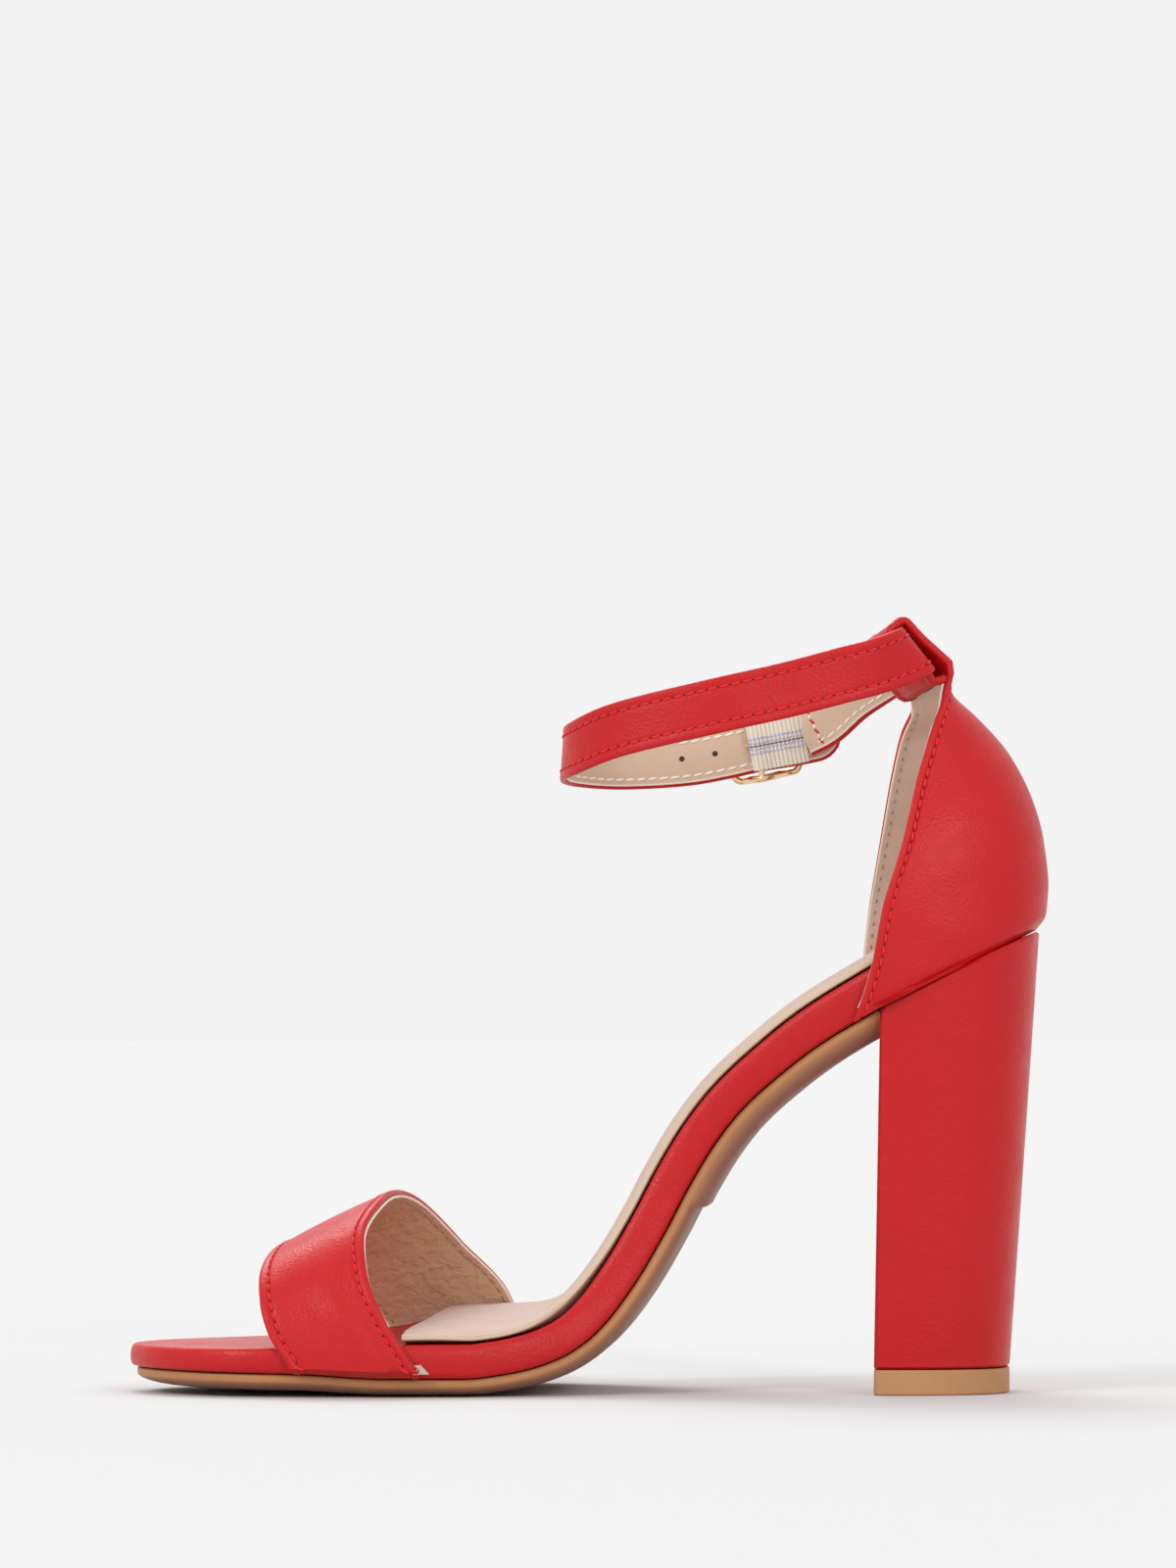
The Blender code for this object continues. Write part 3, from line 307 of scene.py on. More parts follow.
class Last:
    """The joint of sole and footbed, and the outline, by length along it."""

    def __init__(self):
        self.along = [row.along for row in LAST]
        share = np.linspace(0, 1, 1201)
        self.x = SEAT_BACK - (1 - share) * SOLE_RUN
        tread = GAP + OUTSOLE_EDGE + TREAD_CROWN
        self.z = tread + SEAT_RISE * hermite(self.along, [row.rise for row in LAST], share)
        run = np.hypot(np.diff(self.x), np.diff(self.z))
        self.s = np.concatenate([[0], np.cumsum(run)])
        self.length = self.s[-1]
        self.share = share
        slope = np.gradient(self.z, self.x)
        smooth = np.ones(9) / 9
        self.slope = np.convolve(np.pad(slope, 4, mode="edge"), smooth, mode="valid")

    def column(self, s, name):
        share = np.interp(s, self.s, self.share)
        return float(hermite(self.along, [getattr(row, name) for row in LAST], share))

    def at_share(self, share):
        return float(np.interp(share, self.share, self.s))

    def at_x(self, x):
        return float(np.interp(x, self.x, self.s))

    def height(self, x):
        """The joint's height at x, carried on straight past the seat's back."""
        past = max(0.0, x - self.x[-1])
        return float(np.interp(x, self.x, self.z)) + past * self.slope[-1]

    def round_off(self, s):
        toe = max(0.0, 1 - s / TOE_ROUND)
        seat = max(0.0, 1 - (self.length - s) / SEAT_ROUND)
        return math.sqrt(max(0.0, 1 - toe ** 2.15)) * math.sqrt(max(0.0, 1 - seat ** 2.3))

    def edge(self, s, side):
        return self.column(s, "swing") + side * self.column(s, "half") * self.round_off(s)

    def bend(self, s, w, h):
        """A point by length along the joint, side and height over it, in space."""
        angle = math.atan(float(np.interp(s, self.s, self.slope)))
        x = float(np.interp(s, self.s, self.x)) - math.sin(angle) * h
        z = float(np.interp(s, self.s, self.z)) + math.cos(angle) * h
        return Vector((x, w, z))

    def stations(self, start=0.0, step=0.0085, fan=7):
        """Lengths for the outline's points: close where it bends or is steep."""
        toe = [TOE_ROUND * (1 - math.cos(math.pi / 2 * i / fan)) for i in range(fan)]
        seat = [self.length - SEAT_ROUND * (1 - math.cos(math.pi / 2 * i / fan)) for i in range(fan)]
        first, last = TOE_ROUND, self.length - SEAT_ROUND
        count = round((last - first) / step)
        middle = [first + (last - first) * i / count for i in range(count + 1)]
        bend_from, bend_to = self.at_share(0.385), self.at_share(0.60)
        extra = [(a + b) / 2 for a, b in zip(middle, middle[1:]) if bend_from < a < bend_to]
        rows = sorted(toe + middle + extra + seat)
        return [s for s in rows if s >= start - 1e-9]


last = Last()


def bed(s):
    """The footbed's thickness at a length along it."""
    return FOOTBED_WAIST * last.column(s, "bed")


def crown(s):
    """How far the outsole's middle stands below its edge: more in the waist."""
    step = last.at_share(WAIST_STEP)
    t = min(1.0, max(0.0, (s - step) / STEP_LENGTH))
    return TREAD_CROWN + (WAIST_CROWN - TREAD_CROWN) * t


def heel_outline(length, width, corner, steps=12):
    """Half of the heel's D from the breast: (behind the breast, to the side)."""
    half = width / 2
    points = [(0.0, half - corner)]
    for i in range(1, 4):
        angle = math.pi / 2 * i / 3
        points.append((corner * (1 - math.cos(angle)), half - corner * (1 - math.sin(angle))))
    for i in range(1, steps + 1):
        share = math.sin(math.pi / 2 * i / steps)
        behind = corner + (length - corner) * share
        points.append((behind, half * max(0.0, 1 - share ** 2.7) ** (1 / 2.7)))
    return points


def toe_strap_rows(steps=34, across=4):
    """Rows round the toe strap's outer face, from tuck to tuck."""
    lift = 2 * GAP + STRAP_WALL

    def row_at(around):
        angle = math.radians(around)
        side = -1 if around < 90 else 1
        points = []
        for i in range(across + 1):
            share = i / across
            front = hermite([f.around for f in TOE_FOLDS], [f.front for f in TOE_FOLDS], around)
            rear = hermite([f.around for f in TOE_FOLDS], [f.rear for f in TOE_FOLDS], around)
            x = STRAP_FRONT + STRAP_LENGTH * float(front + (rear - front) * share)
            s = last.at_x(x)
            base = last.height(x)
            crest = STRAP_FRONT_HEIGHT + (STRAP_REAR_HEIGHT - STRAP_FRONT_HEIGHT) * share
            bulge = 4 * share * (1 - share) * STRAP_BULGE
            reach = abs(math.cos(angle)) ** (2 / TOE_FULLNESS)
            climb = math.sin(angle) ** (2 / TOE_FULLNESS)
            middle = last.column(s, "swing")
            half = last.column(s, "half") + lift
            y = middle + side * half * reach
            z = base + (crest - base + bulge) * climb
            points.append(Vector((x, y, z)))
        return points

    angles = [180 * i / steps for i in range(steps + 1)]
    rows = [row_at(a) for a in angles]
    for end, side in ((0, -1), (-1, 1)):
        edge = rows[end]
        inner = [Vector((p.x, p.y - side * (lift + STRAP_TUCK), last.height(p.x))) for p in edge]
        bend = [Vector((p.x, p.y - side * lift, last.height(p.x))) for p in edge]
        for p in edge:
            p.z += STRAP_BEND
        rows = [inner, bend] + rows if end == 0 else rows + [bend, inner]
    return rows


def counter_chord(level):
    """Front edges and back of one level: middle, half chord and depth vectors."""
    seat_depth = SEAT_BACK + GAP + COUNTER_WALL - COUNTER_FRONT
    inner_x = COUNTER_FRONT + level.inner * seat_depth
    outer_x = COUNTER_FRONT + level.outer * seat_depth
    middle = Vector(((inner_x + outer_x) / 2, 0.0))
    chord = Vector(((outer_x - inner_x) / 2, level.half))
    back = Vector((chord.y, -chord.x)).normalized() * level.depth * seat_depth
    return middle, chord, back


def tab_directions():
    """Level along the tab to the outer side, and up along its leaning face."""
    middle, chord, back = counter_chord(COUNTER_LEVELS[-1])
    along = Vector((chord.x, chord.y, 0)).normalized()
    behind = Vector((back.x, back.y, 0)).normalized()
    return along, Vector((0, 0, math.cos(TUNNEL_LEAN))) - behind * math.sin(TUNNEL_LEAN)


def counter_point(level, angle):
    """A point of the counter's outer face, 0 at the inner front edge, 180 at the outer."""
    middle, chord, back = counter_chord(level)
    turn = math.radians(angle)
    side = math.copysign(abs(math.cos(turn)) ** min(1.0, level.bend), angle - 90)
    deep = math.sin(turn) ** level.bend
    flat = middle + chord * side + back * deep
    front_base = last.height(middle.x)
    back_base = last.height(middle.x + back.x)
    front_z = front_base + level.front_up * COUNTER_HEIGHT
    back_z = back_base + level.back_up * COUNTER_HEIGHT
    z = front_z + (back_z - front_z) * deep
    if level.front_up == 0:
        z = last.height(flat.x)
    along, steep = tab_directions()
    return Vector((flat.x, flat.y, z)) - steep * level.slant * side * TAB * math.sin(TUNNEL_TILT)


def blended_levels(steps):
    """The counter's levels, with more between them."""
    keys = np.arange(len(COUNTER_LEVELS))
    rows = []
    for k in range(steps + 1):
        place = (len(COUNTER_LEVELS) - 1) * k / steps
        values = [float(hermite(keys, [getattr(row, name) for row in COUNTER_LEVELS], place))
                  for name in Level._fields]
        rows.append(Level(*values))
    return rows


def tunnel_frame():
    """The tunnel's middle, its direction to the outer side, its lean and its back's."""
    along, steep = tab_directions()
    across = along * math.cos(TUNNEL_TILT) - steep * math.sin(TUNNEL_TILT)
    upward = steep * math.cos(TUNNEL_TILT) + along * math.sin(TUNNEL_TILT)
    outward = across.cross(upward).normalized()
    top = counter_point(COUNTER_LEVELS[-1], 90)
    slot_length, slot_depth = tunnel_slot()
    rise = slot_length / 2 + 0.7 * TUNNEL_WALL
    return top + upward * rise - outward * (slot_depth / 2 + TUNNEL_WALL), across, upward, outward


def tunnel_slot():
    """The tunnel's clear opening round the ankle strap."""
    return ANKLE_WIDTH + 4 * GAP, ANKLE_WALL + TUNNEL_ROOM


def tunnel_path(steps=4):
    """The tab's outer face over the strap and down in front: outward and upward."""
    slot_length, slot_depth = tunnel_slot()
    deep, half = slot_depth / 2 + TUNNEL_WALL, slot_length / 2
    corner = TUNNEL_CORNER + TUNNEL_WALL
    top = half + TUNNEL_WALL
    path = [(deep, share * half) for share in (-0.85, -0.4, 0.1, 0.5)]
    for centre_out, start in ((deep - corner, 0), (corner - deep, 90)):
        for i in range(steps + 1):
            turn = math.radians(start + 90 * i / steps)
            path.append((centre_out + corner * math.cos(turn), top - corner + corner * math.sin(turn)))
    path += [(-deep, share * half) for share in (0.5, 0.0, -0.6)]
    path += [(-0.97 * deep, -0.96 * half), (-0.78 * deep, -1.15 * half), (-0.40 * deep, -1.26 * half)]
    path.append((deep - COUNTER_WALL - 1.5 * TUNNEL_WALL, -1.30 * half))
    return path


def strap_centre():
    """Where the ankle strap crosses the tunnel: it lies at the tunnel's front."""
    centre, across, upward, outward = tunnel_frame()
    return centre - outward * (TUNNEL_ROOM / 2 - 1.5 * GAP)


def at_bend(bend):
    """A bend of the ankle strap in space."""
    centre = strap_centre()
    return Vector((centre.x - bend.reach * ANKLE_REACH, bend.side * ANKLE_SPAN, centre.z - bend.drop * ANKLE_DROP))


def ankle_places():
    """The ankle strap's bends: place, lean, and the width's direction where it is held."""
    centre = strap_centre()
    middle, across, upward, outward = tunnel_frame()
    places = [(at_bend(bend), math.radians(bend.lean), None) for bend in REAR_BENDS]
    places += [(centre + across * share * TAB, 0.0, upward) for share in (1.4, 0.6, -0.6, -1.12)]
    mouth = places[-1][0]
    for degrees in (22, 44, 66):
        turn = math.radians(degrees)
        place = mouth - across * FOLD_ROUND * math.sin(turn) - outward * FOLD_ROUND * (1 - math.cos(turn))
        places.append((place, 0.0, upward))
    places += [(at_bend(bend), math.radians(bend.lean), None) for bend in FRONT_BENDS]
    return places


def smooth_run(points, per_span):
    """Points along a centripetal curve through the given ones."""
    padded = [points[0] * 2 - points[1]] + points + [points[-1] * 2 - points[-2]]
    run = []
    for k in range(1, len(padded) - 2):
        p0, p1, p2, p3 = padded[k - 1:k + 3]
        t0 = 0.0
        t1 = t0 + max((p1 - p0).length, 1e-6) ** 0.5
        t2 = t1 + max((p2 - p1).length, 1e-6) ** 0.5
        t3 = t2 + max((p3 - p2).length, 1e-6) ** 0.5
        for i in range(per_span):
            t = t1 + (t2 - t1) * i / per_span
            a1 = p0 * ((t1 - t) / (t1 - t0)) + p1 * ((t - t0) / (t1 - t0))
            a2 = p1 * ((t2 - t) / (t2 - t1)) + p2 * ((t - t1) / (t2 - t1))
            a3 = p2 * ((t3 - t) / (t3 - t2)) + p3 * ((t - t2) / (t3 - t2))
            b1 = a1 * ((t2 - t) / (t2 - t0)) + a2 * ((t - t0) / (t2 - t0))
            b2 = a2 * ((t3 - t) / (t3 - t1)) + a3 * ((t - t1) / (t3 - t1))
            run.append(b1 * ((t2 - t) / (t2 - t1)) + b2 * ((t - t1) / (t2 - t1)))
    return run + [points[-1].copy()]


def width_directions(places):
    """The direction of the strap's width at each bend."""
    spots = [spot for spot, lean, given in places]
    widths = []
    for k, (spot, lean, given) in enumerate(places):
        if given is not None:
            widths.append(given.copy())
            continue
        ahead = (spots[min(k + 1, len(spots) - 1)] - spots[max(k - 1, 0)]).normalized()
        side = ahead.cross(Vector((0, 0, 1))).normalized()
        up = side.cross(ahead).normalized()
        widths.append(up * math.cos(lean) + side * math.sin(lean))
    return widths


def evened(widths, reach):
    """Width directions averaged with their neighbours, so that twists are gradual."""
    rows = []
    for k in range(len(widths)):
        near = widths[max(0, k - reach):k + reach + 1]
        rows.append(sum(near, Vector()).normalized())
    return rows


def buckle_frame():
    """Where the buckle's bar lies: middle, along the strap, outward, and up."""
    places = ankle_places()
    spots = [spot for spot, lean, given in places]
    k = len(spots) - len(FRONT_BENDS) + BUCKLE_BEND
    ahead = (spots[k + 1] - spots[k - 1]).normalized()
    across = width_directions(places)[k]
    outward = across.cross(ahead).normalized()
    if outward.y < 0:
        outward = -outward
    bar = spots[k] - outward * (ANKLE_WALL / 2 + GAP + ELASTIC_WALL + GAP + WIRE / 2)
    return bar, ahead, outward, across


def buckle_sizes():
    """The buckle's reach before and behind its bar, half its width, and its bow."""
    front = 0.42 * BUCKLE_LENGTH
    rear = BUCKLE_LENGTH - front
    half = ANKLE_WIDTH / 2 + 2 * GAP + WIRE / 2
    bow = WIRE / 2 + GAP + ELASTIC_WALL + GAP + ANKLE_WALL + GAP + WIRE / 2
    return front, rear, half, bow


def plain_mesh(name, verts, faces, material, uvs=None, smooth=50, marks=None):
    """A finished piece at the origin, with its own material and marks for it to read."""
    mesh = bpy.data.meshes.new(name)
    mesh.from_pydata([tuple(v) for v in verts], [], [tuple(f) for f in faces])
    for label, values in (marks or {}).items():
        mesh.attributes.new(label, "FLOAT", "POINT").data.foreach_set("value", np.asarray(values, float))
    if uvs is not None:
        layer = mesh.uv_layers.new(name="UVMap")
        corners = np.zeros(len(mesh.loops), int)
        mesh.loops.foreach_get("vertex_index", corners)
        layer.data.foreach_set("uv", np.asarray(uvs, float)[corners].ravel())
    mesh.materials.append(material)
    bm = bmesh.new()
    bm.from_mesh(mesh)
    bmesh.ops.remove_doubles(bm, verts=bm.verts, dist=0.000002)
    bmesh.ops.dissolve_degenerate(bm, edges=bm.edges, dist=0.000002)
    bmesh.ops.recalc_face_normals(bm, faces=bm.faces)
    bm.to_mesh(mesh)
    bm.free()
    mesh.shade_smooth()
    mesh.set_sharp_from_angle(angle=math.radians(smooth))
    obj = bpy.data.objects.new(name, mesh)
    bpy.context.scene.collection.objects.link(obj)
    return obj


def stand_for(obj, slot, *nodes):
    """The piece rides on the shoe and replaces CAD nodes; its slot is not used."""
    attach(obj, "root")
    if nodes:
        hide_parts(*nodes)
    return obj


def set_inputs(node, values):
    """Sets a node's inputs by their names."""
    for key, value in values.items():
        node.inputs[key].default_value = value


class Finish:
    """A material grown from plain words: base, mottle, grain and gloss."""

    def __init__(self, name, base, roughness, **rest):
        self.material = bpy.data.materials.new(name)
        self.material.use_nodes = True
        self.tree = self.material.node_tree
        self.shader = self.tree.nodes["Principled BSDF"]
        self.shader.inputs["Base Color"].default_value = (*base, 1)
        self.shader.inputs["Roughness"].default_value = roughness
        for key, value in rest.items():
            self.shader.inputs[key.replace("_", " ").title().replace("Ior", "IOR")].default_value = value
        self.base = base
        self.bump = None
        self.place = self.new("ShaderNodeTexCoord").outputs["Object"]

    def new(self, kind, **settings):
        node = self.tree.nodes.new(kind)
        for key, value in settings.items():
            setattr(node, key, value)
        return node

    def link(self, a, b):
        self.tree.links.new(a, b)

    def mark(self, label):
        """A value that the piece's mesh carries for this finish."""
        node = self.new("ShaderNodeAttribute", attribute_type="GEOMETRY", attribute_name=label)
        return node.outputs["Fac"]

    def noise(self, scale, detail=3.0, rough=0.5, distortion=0.0):
        node = self.new("ShaderNodeTexNoise")
        set_inputs(node, {"Scale": scale, "Detail": detail, "Roughness": rough, "Distortion": distortion})
        self.link(self.place, node.inputs["Vector"])
        return node.outputs["Fac"]

    def cells(self, scale, feature="F1", randomness=1.0):
        node = self.new("ShaderNodeTexVoronoi", feature=feature)
        set_inputs(node, {"Scale": scale, "Randomness": randomness})
        self.link(self.place, node.inputs["Vector"])
        return node.outputs["Distance"]

    def tint(self, source, colour, low, high, amount=1.0):
        """Mixes a second colour in where the source is high."""
        node = self.new("ShaderNodeMix", data_type="RGBA")
        ranged = self.new("ShaderNodeMapRange")
        set_inputs(ranged, {"From Min": low, "From Max": high, "To Max": amount})
        self.link(source, ranged.inputs["Value"])
        self.link(ranged.outputs["Result"], node.inputs["Factor"])
        socket = self.shader.inputs["Base Color"]
        if socket.is_linked:
            self.link(socket.links[0].from_socket, node.inputs["A"])
        else:
            node.inputs["A"].default_value = (*self.base, 1)
        node.inputs["B"].default_value = (*colour, 1)
        self.link(node.outputs["Result"], socket)
        return self

    def rough(self, source, low, high, from_low=0.3, from_high=0.7):
        node = self.new("ShaderNodeMapRange")
        set_inputs(node, {"From Min": from_low, "From Max": from_high, "To Min": low, "To Max": high})
        self.link(source, node.inputs["Value"])
        self.link(node.outputs["Result"], self.shader.inputs["Roughness"])
        return self

    def relief(self, source, distance, strength=1.0):
        """Raises the surface by the source, over what is there."""
        node = self.new("ShaderNodeBump")
        set_inputs(node, {"Distance": distance, "Strength": strength})
        self.link(source, node.inputs["Height"])
        if self.bump is not None:
            self.link(self.bump, node.inputs["Normal"])
        self.bump = node.outputs["Normal"]
        self.link(self.bump, self.shader.inputs["Normal"])
        return self


def red_leather(name, base=(0.50, 0.0045, 0.0065), folds=0.0006):
    finish = Finish(name, base, 0.36, ior=1.36, specular_ior_level=0.5)
    finish.tint(finish.noise(22.0, 4.0, 0.6), (0.42, 0.004, 0.007), 0.45, 0.80, 0.5)
    finish.tint(finish.noise(300.0, 3.0), (0.58, 0.012, 0.014), 0.55, 0.85, 0.35)
    finish.rough(finish.noise(160.0, 4.0, 0.6), 0.33, 0.46)
    finish.relief(finish.noise(45.0, 2.5, 0.5, 0.6), folds, 0.5)
    finish.relief(finish.cells(1500.0), 0.00010, 0.6)
    finish.relief(finish.noise(2600.0, 3.0, 0.6), 0.00005, 0.6)
    return finish.material


def lining_leather(name, base, dark, wrinkle=0.35, cut=(0.88, 0.78, 0.66), pebble=0.0004):
    finish = Finish(name, base, 0.62, specular_ior_level=0.22)
    finish.tint(finish.noise(90.0, 4.0, 0.6), dark, 0.40, 0.80, 0.5)
    finish.tint(finish.mark("rim"), cut, 0.2, 0.9)
    finish.relief(finish.noise(330.0, 3.0, 0.55, 0.4), pebble, wrinkle)
    finish.relief(finish.cells(1900.0), 0.00005, 0.5)
    return finish.material


def sole_rubber(name, base, dark, rough_low, rough_high, under=(0.32, 0.15, 0.10)):
    finish = Finish(name, base, rough_low, specular_ior_level=0.3)
    finish.tint(finish.noise(60.0, 4.0, 0.6), dark, 0.40, 0.75, 0.6)
    finish.rough(finish.noise(200.0, 3.0), rough_low, rough_high)
    finish.tint(finish.mark("under"), under, 0.1, 0.9)
    finish.relief(finish.noise(900.0, 3.0), 0.00005, 0.5)
    return finish.material


def thread(name, base):
    finish = Finish(name, base, 0.55, specular_ior_level=0.3)
    finish.relief(finish.noise(5000.0, 2.0), 0.00004, 0.8)
    return finish.material


def gold_plate(name):
    finish = Finish(name, (0.86, 0.62, 0.36), 0.2, metallic=1.0)
    finish.rough(finish.noise(300.0, 4.0, 0.6), 0.14, 0.30)
    finish.relief(finish.noise(500.0, 2.0), 0.00002, 0.4)
    return finish.material


def elastic_weave(name):
    finish = Finish(name, (0.80, 0.74, 0.62), 0.85, specular_ior_level=0.2, sheen_weight=0.2)
    # The valleys between the ribs are painted darker: painted shade in the recesses
    finish.tint(finish.mark("valley_painted_shade"), (0.46, 0.38, 0.30), 0.35, 1.0, 0.9)
    finish.tint(finish.noise(700.0, 3.0), (0.62, 0.56, 0.48), 0.5, 0.8, 0.5)
    finish.relief(finish.noise(2200.0, 3.0), 0.0001, 0.8)
    return finish.material


RED = red_leather("red_leather")
RED_COVER = red_leather("red_cover", (0.49, 0.0045, 0.0065), 0.0009)
STRAP_LINING = lining_leather("strap_lining", (0.64, 0.47, 0.35), (0.56, 0.38, 0.27), 0.6)
TOE_LINING = lining_leather("toe_lining", (0.60, 0.39, 0.25), (0.54, 0.33, 0.20), 1.0, pebble=0.0009)
HEEL_LINING = lining_leather("heel_lining", (0.72, 0.55, 0.46), (0.64, 0.45, 0.33), 0.3)
SOCK = lining_leather("sock", (0.56, 0.41, 0.355), (0.48, 0.33, 0.27), 0.15, (0.60, 0.46, 0.34))
TAN_EDGE = sole_rubber("tan_edge", (0.47, 0.21, 0.085), (0.37, 0.155, 0.06), 0.42, 0.55)
TAN_LIFT = sole_rubber("tan_lift", (0.47, 0.24, 0.11), (0.36, 0.17, 0.07), 0.5, 0.65)
# The red thread has the leather's own red, painted lighter here as a highlight for the light on its raised stitches
RED_THREAD_WITH_PAINTED_HIGHLIGHT = thread("red_thread_painted_highlight", (0.68, 0.014, 0.020))
PALE_THREAD = thread("pale_thread", (0.86, 0.80, 0.72))
LILAC_THREAD = thread("lilac_thread", (0.42, 0.44, 0.70))
DARK_THREAD = thread("dark_thread", (0.14, 0.09, 0.10))
# Punched holes are dark discs of painted shade, standing for the shade inside each hole
PUNCHED_HOLE_SHADE = thread("punched_hole_shade", (0.05, 0.03, 0.02))
TAN_THREAD = thread("tan_thread", (0.42, 0.27, 0.17))
# Needle holes are dark beads of painted shade, standing for the shade inside each hole
NEEDLE_HOLE_SHADE = thread("needle_hole_shade", (0.10, 0.006, 0.008))
GOLD = gold_plate("gold_plate")
ELASTIC = elastic_weave("elastic_weave")


def lengths_along(points):
    """The length run at each point of a line."""
    return np.concatenate([[0.0], np.cumsum(np.linalg.norm(np.diff(points, axis=0), axis=1))])


def resampled(at, run, line):
    """A line read off at other lengths along it."""
    return np.stack([np.interp(at, run, line[:, c]) for c in range(line.shape[1])], axis=1)


def unit(vectors):
    """The vectors brought to length one."""
    return vectors / np.maximum(np.linalg.norm(vectors, axis=-1, keepdims=True), 1e-12)


def turned(dx, dy, degrees):
    """Offsets along and across a direction."""
    turn = math.radians(degrees)
    return dx * math.cos(turn) + dy * math.sin(turn), dy * math.cos(turn) - dx * math.sin(turn)


def bands(levels, count):
    """The faces between closed rings of equal count."""
    faces = []
    for k in range(levels - 1):
        for i in range(count):
            j = (i + 1) % count
            faces.append((k * count + i, k * count + j, (k + 1) * count + j, (k + 1) * count + i))
    return faces


def spaced_rows(rows, step):
    """Rows resampled at an even step along their middle."""
    rows = np.asarray([[tuple(p) for p in row] for row in rows], float)
    run = lengths_along(rows[:, rows.shape[1] // 2])
    count = max(2, round(run[-1] / step))
    at = np.linspace(0, run[-1], count + 1)
    flat = rows.reshape(len(rows), -1)
    return resampled(at, run, flat).reshape(count + 1, rows.shape[1], 3)


def marked_rows(rows, near, middle):
    """Rows resampled across at given distances from both edges; also those distances."""
    made, edges = [], []
    for row in np.asarray(rows, float):
        run = lengths_along(row)
        width = run[-1]
        close = np.array(near) * min(1.0, 0.48 * width / near[-1])
        inner = np.linspace(close[-1], width - close[-1], middle + 2)[1:-1]
        spots = np.concatenate([close, inner, width - close[::-1]])
        made.append(resampled(spots, run, row))
        edges.append(np.minimum(spots, width - spots))
    return np.array(made), np.array(edges)


def grid_normals(grid, outward):
    """Unit normals of a grid, on the side that the outward vectors point to."""
    normals = unit(np.cross(np.gradient(grid, axis=0), np.gradient(grid, axis=1)))
    if np.sum(normals * outward) < 0:
        normals = -normals
    return normals


def slab(name, grid, normals, top, bottom, material, edge_steps=4, valley_painted_shade=None):
    """A closed wall between two depths of a grid, its long edges round."""
    rows, count = grid.shape[:2]
    verts, uvs = [], []
    along = lengths_along(grid[:, count // 2])
    for k in range(rows):
        line, up = grid[k], normals[k]
        upper = line + up * top[k][:, None]
        lower = line + up * bottom[k][:, None]
        ends = []
        for first, second in ((count - 1, count - 2), (0, 1)):
            away = line[first] - line[second]
            away -= up[first] * away.dot(up[first])
            away /= max(np.linalg.norm(away), 1e-12)
            middle = (upper[first] + lower[first]) / 2
            radius = (top[k][first] - bottom[k][first]) / 2
            turns = [math.pi / 2 - math.pi * i / edge_steps for i in range(1, edge_steps)]
            ends.append([middle + up[first] * radius * math.sin(t) + away * radius * math.cos(t) for t in turns])
        loop = list(upper) + ends[0] + list(lower[::-1]) + ends[1][::-1]
        verts += loop
        around = lengths_along(np.array(loop))
        uvs += [(along[k], v) for v in around]
    ring = len(loop)
    rim = ([0.0] * (count - 1) + [1.0] * (edge_steps + 1) + [0.0] * (count - 2) + [1.0] * edge_steps) * rows
    faces = bands(rows, ring)
    low_start = count + edge_steps - 1
    for base in (0, (rows - 1) * ring):
        for i in range(count - 1):
            a, b = base + i, base + i + 1
            c, d = base + low_start + count - 2 - i, base + low_start + count - 1 - i
            faces.append((a, b, c, d))
        faces.append([base + count - 1 + i for i in range(edge_steps + 1)])
        faces.append([base] + [base + low_start + count - 1 + i for i in range(edge_steps)])
    # Marks for the finish: the cut rims, or, for the elastic, how deep in a rib valley each ring lies, for its
    # painted shade
    marks = {"rim": rim} if valley_painted_shade is None else {"valley_painted_shade": np.repeat(valley_painted_shade, ring)}
    return plain_mesh(name, verts, faces, material, uvs, marks=marks)


# Soft hollows and swellings of the leathers: where, how long, how wide, how
# deep, and turned how far in degrees
Dent = namedtuple("Dent", "x y z along up depth turn")
DENT_SIDE = 0.016
COUNTER_DENTS = [
    Dent(0.0030, -0.024, 0.1200, 0.0110, 0.0170, -0.00045, 15),
    Dent(0.0120, -0.020, 0.1340, 0.0060, 0.0120, 0.00025, 30),
    Dent(0.0040, -0.024, 0.1020, 0.0160, 0.0050, 0.00030, -20),
    Dent(0.0150, 0.016, 0.1180, 0.0080, 0.0110, -0.00030, 0),
]
TOE_STRAP_DENTS = [
    Dent(-0.1310, -0.036, 0.0359, 0.0012, 0.0005, -0.00025, 25),
    Dent(-0.1290, -0.038, 0.0170, 0.0016, 0.0090, 0.00016, 35),
    Dent(-0.1330, -0.038, 0.0150, 0.0014, 0.0080, -0.00012, 35),
    Dent(-0.1240, -0.038, 0.0150, 0.0014, 0.0070, -0.00012, 30),
    Dent(-0.1400, -0.034, 0.0200, 0.0050, 0.0080, -0.00020, 10),
]
TOE_CREASES = [
    Dent(-0.1620, -0.008, 0, 0.0022, 0.0160, 0.00022, 35),
    Dent(-0.1560, -0.014, 0, 0.0020, 0.0140, -0.00018, 30),
    Dent(-0.1510, -0.006, 0, 0.0022, 0.0170, 0.00020, 25),
    Dent(-0.1680, 0.010, 0, 0.0030, 0.0120, -0.00016, -20),
    Dent(-0.1480, 0.016, 0, 0.0024, 0.0120, 0.00016, -30),
]

# The wisp of lining at the toe strap's inner end: three corners from the
# strap's own corner, and its thickness
WISP = [(-0.0006, -0.0082, 0.0010), (0.0028, -0.0066, 0.0010), (0.0008, -0.0074, 0.0032)]
WISP_THICKNESS = 0.0012

